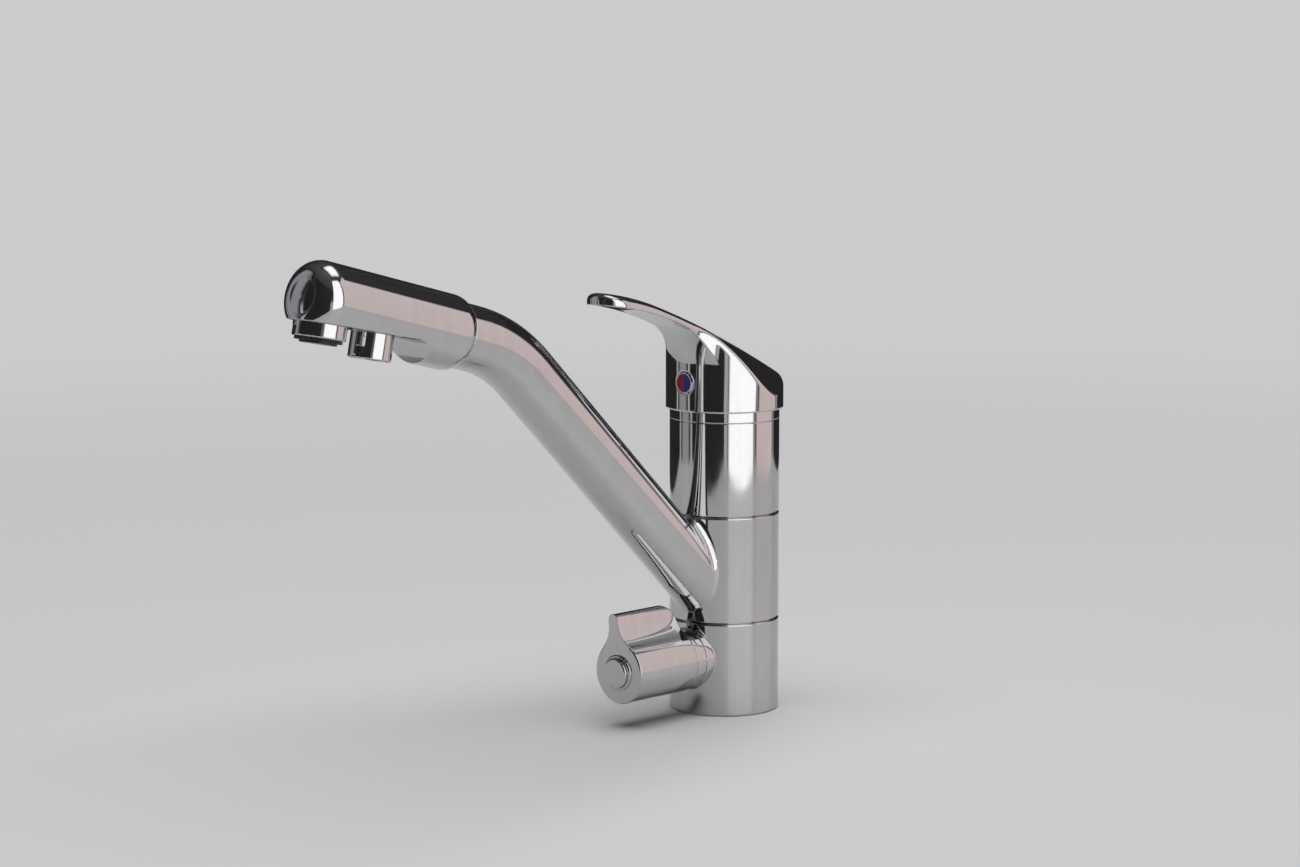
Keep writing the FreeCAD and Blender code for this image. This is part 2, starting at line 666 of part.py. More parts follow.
# Cartridge: housing with a lip that keeps the rotor in
CARTRIDGE_LIP = f"({CARTRIDGE_TOP} + tap.cartridge_collar_height)"
LIP_FLOOR = f"({ROTOR_FLOOR} + tap.rotor_flange_thickness + tap.disc_gap)"
housing = turned_piece("cartridge_housing", [
    ("0", NECK_TOP),
    (CARTRIDGE_RADIUS, NECK_TOP),
    (CARTRIDGE_RADIUS, CARTRIDGE_TOP),
    (CARTRIDGE_COLLAR_RADIUS, CARTRIDGE_TOP),
    (CARTRIDGE_COLLAR_RADIUS, CARTRIDGE_LIP),
    ("tap.rotor_neck_radius + tap.rotor_fit", CARTRIDGE_LIP),
    ("tap.rotor_neck_radius + tap.rotor_fit", LIP_FLOOR),
    (CARTRIDGE_INNER, LIP_FLOOR),
    (CARTRIDGE_INNER, f"{NECK_TOP} + tap.cartridge_floor"),
    ("0", f"{NECK_TOP} + tap.cartridge_floor"),
])
pieces.append(housing)
water_ways = (
    ("hot_way", "-tap.supply_spread", "tap.supply_back", "tap.supply_bore_radius"),
    ("cold_way", "tap.supply_spread", "tap.supply_back", "tap.supply_bore_radius"),
    ("mixed_way", "0", "-tap.mixed_reach", "tap.mixed_bore_radius"),
)
for way, across, along, radius in water_ways:
    disc(housing, "housing_" + way, "XY_Plane", (across, along), radius, NECK_TOP,
         "tap.cartridge_floor", cut=True)

# Moulded seal under the ceramic discs
seal = turned_piece("cartridge_seal", [
    ("0", f"{NECK_TOP} + tap.cartridge_floor"),
    (CERAMIC_RADIUS, f"{NECK_TOP} + tap.cartridge_floor"),
    (CERAMIC_RADIUS, DISC_FLOOR),
    ("0", DISC_FLOOR),
])
fixed_disc = turned_piece("fixed_disc", [
    ("0", DISC_FLOOR),
    (CERAMIC_RADIUS, DISC_FLOOR),
    (CERAMIC_RADIUS, DISC_TOP),
    ("0", DISC_TOP),
])
for way, across, along, radius in water_ways:
    disc(seal, "seal_" + way, "XY_Plane", (across, along), radius,
         f"{NECK_TOP} + tap.cartridge_floor", "tap.cartridge_seal_thickness", cut=True)
    disc(fixed_disc, "disc_" + way, "XY_Plane", (across, along),
         f"{radius} - tap.ceramic_way_step", DISC_FLOOR, "tap.ceramic_thickness", cut=True)
pieces += [seal, fixed_disc]

# Moving disc, pushed to and fro by the lever's finger
moving_disc = turned_piece("moving_disc", [
    ("0", DISC_TOP),
    ("tap.moving_disc_radius", DISC_TOP),
    ("tap.moving_disc_radius", MOVING_TOP),
    ("0", MOVING_TOP),
])
disc(moving_disc, "finger_hole", "XY_Plane", ("0", "0"), "tap.disc_hole_radius",
     f"{DISC_TOP} + tap.disc_hole_floor", "tap.moving_disc_thickness", cut=True)
pieces.append(moving_disc)

# Rotor that turns with the lever and carries its pin
rotor = turned_piece("cartridge_rotor", [
    ("0", ROTOR_FLOOR),
    (f"{CARTRIDGE_INNER} - tap.rotor_fit", ROTOR_FLOOR),
    (f"{CARTRIDGE_INNER} - tap.rotor_fit", f"{ROTOR_FLOOR} + tap.rotor_flange_thickness"),
    ("tap.rotor_neck_radius", f"{ROTOR_FLOOR} + tap.rotor_flange_thickness"),
    ("tap.rotor_neck_radius", ROTOR_TOP),
    ("0", ROTOR_TOP),
])
block(rotor, "rotor_slot", "XY_Plane",
      ("-tap.rotor_slot_half_width", "-tap.rotor_slot_front"),
      ("tap.rotor_slot_half_width", "tap.rotor_slot_rear"),
      ROTOR_FLOOR, f"{ROTOR_TOP} - {ROTOR_FLOOR}", cut=True)
pin_hole = new_sketch(rotor, "pin_hole_circle", "YZ_Plane")
pin_circle = pin_hole.addGeometry(
    Part.Circle(Vector(0, value(TILT_HEIGHT), 0), Vector(0, 0, 1), value("tap.pin_radius"))
)
pin_point(pin_hole, pin_circle, 3, "0", TILT_HEIGHT)
bind(pin_hole, "Radius", pin_circle, size="tap.pin_radius")
extrude(rotor, "pin_hole", pin_hole, "4 * tap.rotor_neck_radius", cut=True, both=True)
pieces.append(rotor)

# Pin that the lever tilts on
pin = document.addObject("Part::Cylinder", "rotor_pin")
pin.Label = "rotor_pin"
pin.Placement = Placement(Vector(0, 0, 0), Rotation(Vector(0, 1, 0), 90))
pin.setExpression("Radius", "tap.pin_radius")
pin.setExpression("Height", "2 * tap.pin_half_length")
pin.setExpression("Placement.Base.x", "-tap.pin_half_length")
pin.setExpression("Placement.Base.z", TILT_HEIGHT)
pieces.append(pin)

# Threaded nut that holds the cartridge down
pieces.append(turned_piece("cartridge_nut", [
    (f"{CARTRIDGE_COLLAR_RADIUS} + tap.rotor_fit", CARTRIDGE_TOP),
    (NUT_THREAD_RADIUS, CARTRIDGE_TOP),
    (NUT_THREAD_RADIUS, BODY_TOP),
    (f"{NUT_THREAD_RADIUS} - tap.nut_top_height", f"{BODY_TOP} + tap.nut_top_height"),
    (f"{CARTRIDGE_COLLAR_RADIUS} + tap.rotor_fit", f"{BODY_TOP} + tap.nut_top_height"),
]))

# Domed cover ring between the upper body and the lever
DOME_FOOT = f"sqrt(pow({COVER_DOME_RADIUS}; 2) - pow(tap.column_radius; 2))"
pieces.append(turned_piece("cover_ring", [
    ("tap.column_radius - tap.seam_chamfer / 3", BODY_TOP),
    ("tap.column_radius", f"{BODY_TOP} + tap.seam_chamfer / 3"),
    ("tap.column_radius", f"{TILT_HEIGHT} + {DOME_FOOT}", COVER_DOME_RADIUS),
    (COVER_OPENING_RADIUS,
     f"{TILT_HEIGHT} + sqrt(pow({COVER_DOME_RADIUS}; 2) - pow({COVER_OPENING_RADIUS}; 2))"),
    (f"{COVER_OPENING_RADIUS} - tap.cover_lip_width",
     f"{TILT_HEIGHT} + sqrt(pow({COVER_DOME_RADIUS}; 2) - pow({COVER_OPENING_RADIUS}; 2))"),
    ("tap.column_radius - tap.cover_wall", f"{COVER_TOP}"),
    ("tap.column_radius - tap.cover_wall", f"{BODY_TOP} + tap.cover_wall"),
    (f"{NUT_THREAD_RADIUS} + tap.rotor_fit", f"{BODY_TOP} + tap.cover_wall"),
    (f"{NUT_THREAD_RADIUS} + tap.rotor_fit", BODY_TOP),
]))

# Square stem on the pin, with the finger that moves the disc
stem = new_body("lever_stem")
block(stem, "stem_square", "XY_Plane", ("-tap.stem_half_width", "-tap.stem_half_width"),
      ("tap.stem_half_width", "tap.stem_half_width"), STEM_SHOULDER,
      f"{STEM_TOP} - {STEM_SHOULDER}")
disc(stem, "stem_finger", "XY_Plane", ("0", "0"), "tap.stem_finger_radius",
     FINGER_END, f"{STEM_SHOULDER} - {FINGER_END}")
stem_hole = new_sketch(stem, "stem_pin_circle", "YZ_Plane")
stem_circle = stem_hole.addGeometry(
    Part.Circle(Vector(0, value(TILT_HEIGHT), 0), Vector(0, 0, 1),
                value("tap.pin_radius + tap.pin_fit"))
)
pin_point(stem_hole, stem_circle, 3, "0", TILT_HEIGHT)
bind(stem_hole, "Radius", stem_circle, size="tap.pin_radius + tap.pin_fit")
extrude(stem, "stem_pin_hole", stem_hole, "4 * tap.stem_half_width", cut=True, both=True)
pieces.append(stem)

# Lever: round skirt and blade under one crowned top, hollow underneath
lever = new_body("lever")
ROOT_REACH = f"({SKIRT_RADIUS} + tap.neck_round * (1 - sin(tap.blade_root_slope)))"
ROOT_HEIGHT = f"({LEVER_NECK} + tap.neck_round * cos(tap.blade_root_slope))"
UNDER_RUN = f"({UNDER_REACH} - {ROOT_REACH})"
UNDER_RISE = f"({UNDER_HEIGHT} - {ROOT_HEIGHT})"
UNDER_RADIUS = (
    f"(sqrt(pow({UNDER_RUN}; 2) + pow({UNDER_RISE}; 2))"
    f" / (2 * sin(tap.blade_root_slope * 1 deg - atan({UNDER_RISE} / {UNDER_RUN}))))"
)
FLARE_ACROSS = "(tap.blade_half_width + tap.blade_root_round)"
FLARE_RUN = f"({SKIRT_RADIUS} + tap.blade_root_round)"
FLARE_REACH = f"sqrt(pow({FLARE_RUN}; 2) - pow({FLARE_ACROSS}; 2))"
FLARE_SHARE = f"({SKIRT_RADIUS} / {FLARE_RUN})"
lever_plan = chain(new_sketch(lever, "lever_plan", "XY_Plane", SKIRT_BOTTOM), [
    (f"{FLARE_ACROSS} * {FLARE_SHARE}", f"-{FLARE_REACH} * {FLARE_SHARE}",
     "tap.blade_root_round"),
    ("tap.blade_half_width", f"-{FLARE_REACH}"),
    ("tap.blade_half_width", "-(tap.blade_reach - tap.blade_tip_round)", "-tap.blade_tip_round"),
    ("tap.blade_half_width - tap.blade_tip_round", "-tap.blade_reach"),
    ("-(tap.blade_half_width - tap.blade_tip_round)", "-tap.blade_reach",
     "-tap.blade_tip_round"),
    ("-tap.blade_half_width", "-(tap.blade_reach - tap.blade_tip_round)"),
    ("-tap.blade_half_width", f"-{FLARE_REACH}", "tap.blade_root_round"),
    (f"-{FLARE_ACROSS} * {FLARE_SHARE}", f"-{FLARE_REACH} * {FLARE_SHARE}",
     f"-{SKIRT_RADIUS}"),
    ("0", SKIRT_RADIUS, f"-{SKIRT_RADIUS}"),
])
extrude(lever, "lever_block", lever_plan, "tap.crest_tip_rise + 2 * tap.blade_round")
turn(lever, "blade_underside", [
    (SKIRT_RADIUS, f"{SKIRT_BOTTOM} - {OVERCUT}"),
    (SKIRT_RADIUS, LEVER_NECK, "-tap.neck_round"),
    (ROOT_REACH, ROOT_HEIGHT, f"-{UNDER_RADIUS}"),
    (UNDER_REACH, UNDER_HEIGHT),
    ("2 * tap.blade_reach", UNDER_HEIGHT),
    ("2 * tap.blade_reach", f"{SKIRT_BOTTOM} - {OVERCUT}"),
], cut=True)
FRONT_RUN = f"({CREST_TIP_REACH} - tap.crest_middle_reach)"
FRONT_FALL = f"({CREST_TIP} - {CREST_MIDDLE})"
REAR_RUN = f"(tap.crest_middle_reach + {CREST_REAR_REACH})"
REAR_FALL = f"({CREST_MIDDLE} - {CREST_REAR})"
FRONT_CHORD = f"sqrt(pow({FRONT_RUN}; 2) + pow({FRONT_FALL}; 2))"
MIDDLE_SLOPE = (
    f"(atan({FRONT_FALL} / {FRONT_RUN})"
    f" + asin({FRONT_CHORD} / (2 * tap.crest_front_radius)))"
)
CREST_REAR_RADIUS = (
    f"(sqrt(pow({REAR_RUN}; 2) + pow({REAR_FALL}; 2))"
    f" / (2 * sin(atan({REAR_FALL} / {REAR_RUN}) - {MIDDLE_SLOPE})))"
)
crown_sketch = chain(new_sketch(lever, "crown_side", "YZ_Plane"), [
    (f"-{CREST_TIP_REACH}", CREST_TIP, "-tap.crest_front_radius"),
    ("-tap.crest_middle_reach", CREST_MIDDLE, f"-{CREST_REAR_RADIUS}"),
    (CREST_REAR_REACH, CREST_REAR),
    (f"2 * {CREST_REAR_REACH}", CREST_REAR),
    (f"2 * {CREST_REAR_REACH}", f"{CREST_TIP} + tap.crown_axis_drop"),
    (f"-{CREST_TIP_REACH}", f"{CREST_TIP} + tap.crown_axis_drop"),
])
AXIS_HEIGHT = (
    f"({CREST_MIDDLE} - tap.crown_axis_drop"
    " - tap.crest_middle_reach * tan(tap.crown_axis_slope))"
)
axis_line = crown_sketch.addGeometry(
    Part.LineSegment(
        Vector(-value("tap.crest_middle_reach"),
               value(f"{CREST_MIDDLE} - tap.crown_axis_drop"), 0),
        Vector(0, value(AXIS_HEIGHT), 0),
    ), True)
pin_point(crown_sketch, axis_line, 1, "-tap.crest_middle_reach",
          f"{CREST_MIDDLE} - tap.crown_axis_drop")
pin_point(crown_sketch, axis_line, 2, "0", AXIS_HEIGHT)
crown = lever.newObject("PartDesign::Groove", "crown")
crown.Profile = crown_sketch
crown.ReferenceAxis = (crown_sketch, ["Axis0"])
crown.Angle = 180
crown.Midplane = True


def on_crown(edge, middle):
    """True for an edge between the crowned top and an upright wall."""
    rises = []
    for face in crown.Shape.ancestorsOfType(edge, Part.Face):
        rises.append(face.normalAt(*face.Surface.parameter(middle)).z)
    return max(rises) > 0.3 and min(abs(rise) for rise in rises) < 0.01


round_edges(lever, "lever_top_round", crown, "tap.blade_round", on_crown)
turn(lever, "cavity", [
    ("0", f"{SKIRT_BOTTOM} - {OVERCUT}"),
    (SKIRT_INNER, f"{SKIRT_BOTTOM} - {OVERCUT}"),
    (SKIRT_INNER, f"{SKIRT_BOTTOM} + tap.skirt_cavity_height"),
    ("tap.cavity_shoulder_radius", f"{SKIRT_BOTTOM} + tap.cavity_shoulder_height"),
    ("tap.cavity_top_radius", f"{SKIRT_BOTTOM} + tap.cavity_top_height"),
    ("0", f"{SKIRT_BOTTOM} + tap.cavity_top_height"),
], cut=True)
disc(lever, "stem_boss", "XY_Plane", ("0", "0"), "tap.lever_boss_radius",
     LEVER_BOSS,
     f"{SKIRT_BOTTOM} + tap.cavity_top_height + {OVERCUT} - {LEVER_BOSS}")
block(lever, "stem_socket", "XY_Plane",
      ("-tap.stem_half_width - tap.socket_fit", "-tap.stem_half_width - tap.socket_fit"),
      ("tap.stem_half_width + tap.socket_fit", "tap.stem_half_width + tap.socket_fit"),
      LEVER_BOSS, f"{STEM_TOP} + tap.socket_fit - {LEVER_BOSS}", cut=True)
disc(lever, "grub_hole", "XZ_Plane", ("0", BADGE_HEIGHT), "tap.grub_radius + tap.thread_fit",
     "0", BADGE_SEAT, cut=True)
disc(lever, "badge_seat", "XZ_Plane", ("0", BADGE_HEIGHT), "tap.badge_radius + tap.badge_fit",
     BADGE_SEAT, SKIRT_RADIUS, cut=True)
pieces.append(lever)

# Grub screw that holds the stem, and the badge that hides it
grub = turned_piece("grub_screw", [
    ("0", "tap.stem_half_width"),
    ("tap.grub_radius", "tap.stem_half_width"),
    ("tap.grub_radius", "tap.stem_half_width + tap.grub_length"),
    ("tap.grub_hex_radius", "tap.stem_half_width + tap.grub_length"),
    ("tap.grub_hex_radius", "tap.stem_half_width + tap.grub_length / 2"),
    ("0", "tap.stem_half_width + tap.grub_length / 2"),
])
badge = turned_piece("badge", [
    ("0", BADGE_SEAT),
    ("tap.badge_radius", BADGE_SEAT),
    ("tap.badge_radius", f"{SKIRT_RADIUS} - tap.badge_depth"),
    ("tap.badge_radius - tap.badge_rim", f"{SKIRT_RADIUS} + tap.badge_proud"),
    ("tap.badge_radius - 2 * tap.badge_rim", f"{SKIRT_RADIUS} + tap.badge_proud"),
    ("tap.badge_radius - 2 * tap.badge_rim", f"{SKIRT_RADIUS} + tap.badge_proud / 2"),
    ("0", f"{SKIRT_RADIUS} + tap.badge_proud / 2"),
])
for item in (grub, badge):
    item.Placement = Placement(Vector(0, 0, 0), Rotation(Vector(1, 0, 0), 90))
    item.setExpression("Placement.Base.z", BADGE_HEIGHT)
    pieces.append(item)

# Spout: collar round the core, with the rising tube grown out of it
spout = new_body("spout")
turn(spout, "collar", [
    ("0", "tap.base_height + tap.seam_gap"),
    ("tap.column_radius - tap.seam_chamfer", "tap.base_height + tap.seam_gap"),
    ("tap.column_radius", "tap.base_height + tap.seam_gap + tap.seam_chamfer"),
    ("tap.column_radius", f"{COLLAR_TOP} - tap.seam_gap - tap.seam_chamfer"),
    ("tap.column_radius - tap.seam_chamfer", f"{COLLAR_TOP} - tap.seam_gap"),
    ("0", f"{COLLAR_TOP} - tap.seam_gap"),
])


def rising_point(depth):
    """Point on the straight tube's middle line, at a depth inside the column's face."""
    rising = f"(tap.tube_run + ({depth}))"
    return (
        f"-({BEND_REACH} - {rising} * cos(tap.tube_slope))",
        f"{BEND_HEIGHT} - {rising} * sin(tap.tube_slope)",
    )


def along_head(run, depth):
    """Point at a run past the seam and a depth below the tube's middle line."""
    return (
        f"-({SEAM_REACH} + ({run}) * cos(tap.head_slope) + ({depth}) * sin(tap.head_slope))",
        f"{SEAM_HEIGHT} + ({run}) * sin(tap.head_slope) - ({depth}) * cos(tap.head_slope)",
    )


def along_outlet(run):
    """Point on the second outlet's axis, at a run below the hose's turning point."""
    return along_head(f"{HOSE_TURN} - ({run}) * sin({FLAT_LEAN})", f"({run}) * cos({FLAT_LEAN})")


def spout_corners(start, end):
    """Middle line of the tube: from a depth inside the column to a run past the seam."""
    rising = f"(tap.tube_run + ({start}))"
    bend_start = (
        f"-({BEND_REACH} - {BEND_TANGENT} * cos(tap.tube_slope))",
        f"{BEND_HEIGHT} - {BEND_TANGENT} * sin(tap.tube_slope)",
        "tap.bend_radius",
    )
    bend_end = (
        f"-({BEND_REACH} + {BEND_TANGENT} * cos(tap.head_slope))",
        f"{BEND_HEIGHT} + {BEND_TANGENT} * sin(tap.head_slope)",
    )
    return [rising_point(start), bend_start, bend_end, along_head(end, "0")]


def spout_path(body, name, start, end):
    """The tube's middle line as a sketch."""
    return chain(new_sketch(body, name, "YZ_Plane"), spout_corners(start, end), closed=False)


def straight_path(body, name, start, end):
    """A straight line along the head, between two runs past the seam."""
    corners = [along_head(start, "0"), along_head(end, "0")]
    return chain(new_sketch(body, name, "YZ_Plane"), corners, closed=False)


def rising_path(body, name, start, end):
    """A straight line along the rising tube, between two depths inside the column's face."""
    corners = [rising_point(start), rising_point(end)]
    return chain(new_sketch(body, name, "YZ_Plane"), corners, closed=False)


def pipe(body, name, path, radius, cut=False):
    """Sweep a round section along a path."""
    document.recompute()
    section = body.newObject("Sketcher::SketchObject", name + "_section")
    section.AttachmentSupport = [(path, "Edge1")]
    section.MapMode = "NormalToEdge"
    section.MapPathParameter = 0
    circle = section.addGeometry(Part.Circle(Vector(0, 0, 0), Vector(0, 0, 1), value(radius)))
    section.addConstraint(Sketcher.Constraint("Coincident", circle, 3, -1, 1))
    bind(section, "Radius", circle, size=radius)
    kind = "PartDesign::SubtractivePipe" if cut else "PartDesign::AdditivePipe"
    feature = body.newObject(kind, name)
    feature.Profile = section
    feature.Spine = (path, [f"Edge{number}" for number in range(1, path.GeometryCount + 1)])
    return feature


def at_tube_root(edge, middle):
    """True for the edge where the tube leaves the collar's round face."""
    away = math.hypot(middle.x, middle.y)
    face = value("tap.column_radius")
    return abs(away - face) < 0.01 and middle.y < 0 and not isinstance(edge.Curve, Part.Circle)


def outlet_seat(body, name, along, depth, radius):
    """Round hole through the flat, on a leaning outlet's axis."""
    sketch = new_sketch(body, name + "_circle", "XZ_Plane")
    sketch.AttachmentOffset = Placement(
        Vector(0, value(along), value(depth)), Rotation(Vector(1, 0, 0), value(FLAT_LEAN))
    )
    circle = sketch.addGeometry(Part.Circle(Vector(0, 0, 0), Vector(0, 0, 1), value(radius)))
    sketch.addConstraint(Sketcher.Constraint("Coincident", circle, 3, -1, 1))
    bind(sketch, "Radius", circle, size=radius)
    return extrude(body, name, sketch, f"2 * (tap.aerator_neck_length + 2 * {OVERCUT})", cut=True, both=True)


tube_path = spout_path(spout, "tube_path", "tap.tube_start_depth", "0")
tube = pipe(spout, "tube", tube_path, "tap.tube_radius")
root = round_edges(spout, "tube_root", tube, "tap.root_round", at_tube_root)
spigot_path = straight_path(spout, "spigot_path", f"-{OVERCUT}", "tap.spigot_length")
pipe(spout, "spigot", spigot_path, "tap.spigot_radius")
disc(spout, "core_bore", "XY_Plane", ("0", "0"), CORE_BORE, "0", f"{NECK_TOP}", cut=True)
bore_path = spout_path(spout, "bore_path", "-tap.tube_bore_start", f"tap.spigot_length + {OVERCUT}")
pipe(spout, "tube_bore", bore_path, "tap.tube_bore_radius", cut=True)
disc(spout, "mixed_port", "XZ_Plane", ("0", MIXED_GALLERY), "tap.mixed_port_radius",
     "tap.mixed_reach", f"tap.column_radius - tap.mixed_reach + 2 * {OVERCUT}", cut=True)
hose_socket = rising_path(spout, "hose_socket_path", "tap.tube_start_depth",
                          f"-tap.tube_bore_start - {OVERCUT}")
pipe(spout, "hose_socket", hose_socket, "tap.hose_radius + tap.spigot_fit", cut=True)
pieces.append(spout)

# Hose for filtered water, inside the spout from the collar to the second outlet
hose = new_body("filter_hose")
hose_path = chain(new_sketch(hose, "hose_path", "YZ_Plane"),
                  spout_corners("tap.hose_start_depth", "0")[:3] + [
                      along_head(f"{HOSE_TURN} - {HOSE_TANGENT}", "0") + ("-tap.hose_bend_radius",),
                      along_outlet(HOSE_TANGENT),
                      along_outlet(f"{HOSE_TURN_DEPTH} - tap.nozzle_neck_length"),
                  ], closed=False)
pipe(hose, "hose_wall", hose_path, "tap.hose_radius")
pipe(hose, "hose_inside", hose_path, "tap.hose_bore_radius", cut=True)
pieces.append(hose)

# Head of the spout: a turned shell with a rounded heel and nose, milled flat below
spout_head = new_body("spout_head")
turn(spout_head, "head_shell", [
    ("0", "0"),
    ("tap.tube_radius", "0", "tap.heel_round"),
    ("tap.head_radius", "tap.heel_length"),
    ("tap.head_radius", "tap.head_length - tap.nose_dome - tap.nose_round", "tap.nose_round"),
    ("tap.head_radius - tap.nose_round", "tap.head_length - tap.nose_dome", NOSE_RADIUS),
    ("0", "tap.head_length"),
])
block_corners = [
    ("-2 * tap.head_radius", f"tap.head_length + {OVERCUT}"),
    (f"-{FLAT_DEPTH_NOSE}", f"tap.head_length + {OVERCUT}"),
    (f"-{FLAT_DEPTH_REAR}", FLAT_REAR, "-tap.flat_run_out"),
    (f"-({FLAT_DEPTH_REAR} + tap.flat_run_out)", f"{FLAT_REAR} - tap.flat_run_out"),
    ("-2 * tap.head_radius", f"{FLAT_REAR} - tap.flat_run_out"),
]
flat_sketch = chain(new_sketch(spout_head, "flat_side", "YZ_Plane"), block_corners)
extrude(spout_head, "outlet_flat", flat_sketch, "4 * tap.head_radius", cut=True, both=True)
disc(spout_head, "spigot_seat", "XY_Plane", ("0", "0"), "tap.spigot_radius + tap.spigot_fit",
     f"-{OVERCUT}", f"tap.spigot_length + {OVERCUT} + tap.spigot_fit", cut=True)
disc(spout_head, "head_bore", "XY_Plane", ("0", "tap.head_bore_lift"), "tap.head_bore_radius",
     "0", HEAD_BORE_END, cut=True)
outlet_seat(spout_head, "main_seat", MAIN_OUTLET, "tap.main_outlet_depth",
            "tap.aerator_neck_radius")
outlet_seat(spout_head, "filter_seat", NOZZLE_ALONG, NOZZLE_DEPTH, "tap.nozzle_neck_radius")
place_on_head(spout_head, "0", "0", HEAD_ANGLE)
pieces.append(spout_head)

# Main outlet: ring nut, mesh insert and washer
aerator = turned_piece("aerator_housing", [
    ("tap.aerator_bore_radius", "-tap.aerator_neck_length"),
    ("tap.aerator_neck_radius", "-tap.aerator_neck_length"),
    ("tap.aerator_neck_radius", "0"),
    ("tap.aerator_radius", "0"),
    ("tap.aerator_radius", "tap.aerator_height - tap.outlet_chamfer"),
    ("tap.aerator_radius - tap.outlet_chamfer", "tap.aerator_height"),
    ("tap.aerator_lip_radius", "tap.aerator_height"),
    ("tap.aerator_lip_radius", "tap.aerator_height - tap.aerator_lip"),
    ("tap.aerator_bore_radius", "tap.aerator_height - tap.aerator_lip"),
])
for side, low, high in (
    ("front", "-2 * tap.aerator_radius", "-(tap.aerator_radius - tap.aerator_flat_depth)"),
    ("back", "tap.aerator_radius - tap.aerator_flat_depth", "2 * tap.aerator_radius"),
):
    flat = block(aerator, f"spanner_flat_{side}", "XY_Plane",
                 ("-tap.aerator_radius", low), ("tap.aerator_radius", high),
                 "tap.aerator_height - tap.aerator_flat_height", f"tap.aerator_flat_height + {OVERCUT}",
                 cut=True)
    flat.Profile[0].AttachmentOffset = Placement(
        Vector(0, 0, 0), Rotation(Vector(0, 0, 1), value("tap.aerator_turn"))
    )
insert = turned_piece("aerator_insert", [
    ("0", "-tap.aerator_neck_length + tap.washer_thickness"),
    ("tap.aerator_bore_radius", "-tap.aerator_neck_length + tap.washer_thickness"),
    ("tap.aerator_bore_radius", "tap.aerator_height - tap.aerator_lip"),
    ("tap.aerator_lip_radius", "tap.aerator_height - tap.aerator_lip"),
    ("tap.aerator_lip_radius", "tap.aerator_height + tap.aerator_insert_proud"),
    ("tap.aerator_lip_radius - tap.mesh_rim", "tap.aerator_height + tap.aerator_insert_proud"),
    ("tap.aerator_lip_radius - tap.mesh_rim",
     "tap.aerator_height + tap.aerator_insert_proud - tap.mesh_depth"),
    ("0", "tap.aerator_height + tap.aerator_insert_proud - tap.mesh_depth"),
])
aerator_washer = turned_piece("aerator_washer", [
    ("tap.aerator_bore_radius - tap.washer_width", "-tap.aerator_neck_length"),
    ("tap.aerator_bore_radius", "-tap.aerator_neck_length"),
    ("tap.aerator_bore_radius", "-tap.aerator_neck_length + tap.washer_thickness"),
    ("tap.aerator_bore_radius - tap.washer_width", "-tap.aerator_neck_length + tap.washer_thickness"),
])
for item in (aerator, insert, aerator_washer):
    place_on_head(item, MAIN_OUTLET, "tap.main_outlet_depth", OUTLET_ANGLE)
    pieces.append(item)

# Filtered-water outlet: a plain turned nozzle with its insert
nozzle = turned_piece("filter_nozzle", [
    ("tap.hose_bore_radius", "-tap.nozzle_neck_length"),
    ("tap.nozzle_neck_radius", "-tap.nozzle_neck_length"),
    ("tap.nozzle_neck_radius", "0"),
    ("tap.nozzle_radius", "0"),
    ("tap.nozzle_radius", "tap.nozzle_height - tap.outlet_chamfer"),
    ("tap.nozzle_radius - tap.outlet_chamfer", "tap.nozzle_height"),
    ("tap.nozzle_mouth_radius", "tap.nozzle_height"),
    ("tap.nozzle_mouth_radius", "tap.nozzle_height - tap.nozzle_mouth_depth"),
    ("tap.hose_bore_radius", "tap.nozzle_height - tap.nozzle_mouth_depth"),
])
block(nozzle, "nozzle_slot", "XY_Plane",
      ("-tap.nozzle_slot_width / 2", "-2 * tap.nozzle_radius"),
      ("tap.nozzle_slot_width / 2", "2 * tap.nozzle_radius"),
      "tap.nozzle_height - tap.nozzle_slot_depth", f"tap.nozzle_slot_depth + {OVERCUT}", cut=True)
nozzle_insert = turned_piece("nozzle_insert", [
    ("tap.hose_bore_radius", "tap.nozzle_height - tap.nozzle_mouth_depth"),
    ("tap.nozzle_mouth_radius", "tap.nozzle_height - tap.nozzle_mouth_depth"),
    ("tap.nozzle_mouth_radius", "tap.nozzle_height - tap.nozzle_slot_depth - tap.nozzle_insert_gap"),
    ("tap.hose_bore_radius", "tap.nozzle_height - tap.nozzle_slot_depth - tap.nozzle_insert_gap"),
])
for item in (nozzle, nozzle_insert):
    place_on_head(item, NOZZLE_ALONG, NOZZLE_DEPTH, OUTLET_ANGLE)
    pieces.append(item)

# Filter valve: seal, two ceramic discs, bonnet and spindle
valve_seal = turned_piece("valve_seal", [
    ("tap.filter_feed_radius", "tap.valve_floor"),
    ("tap.valve_bore_radius", "tap.valve_floor"),
    ("tap.valve_bore_radius", VALVE_SEAL_FRONT),
    ("tap.filter_feed_radius", VALVE_SEAL_FRONT),
])
valve_fixed_disc = turned_piece("valve_fixed_disc", [
    ("0", VALVE_SEAL_FRONT),
    ("tap.valve_bore_radius", VALVE_SEAL_FRONT),
    ("tap.valve_bore_radius", VALVE_DISC_FRONT),
    ("0", VALVE_DISC_FRONT),
])
valve_turning_disc = turned_piece("valve_turning_disc", [
    ("0", VALVE_DISC_FRONT),
    ("tap.valve_disc_radius", VALVE_DISC_FRONT),
    ("tap.valve_disc_radius", VALVE_ROTOR_FRONT),
    ("0", VALVE_ROTOR_FRONT),
])
for item, start in (
    (valve_fixed_disc, VALVE_SEAL_FRONT),
    (valve_turning_disc, VALVE_DISC_FRONT),
):
    for side, sign in (("left", "-"), ("right", "")):
        disc(item, f"{item.Label}_{side}_hole", "XY_Plane", (f"{sign}tap.valve_way_offset", "0"),
             "tap.valve_way_radius", start, "tap.valve_disc_thickness", cut=True)
SPINDLE_FLANGE_FRONT = f"({VALVE_ROTOR_FRONT} + tap.valve_spindle_flange)"
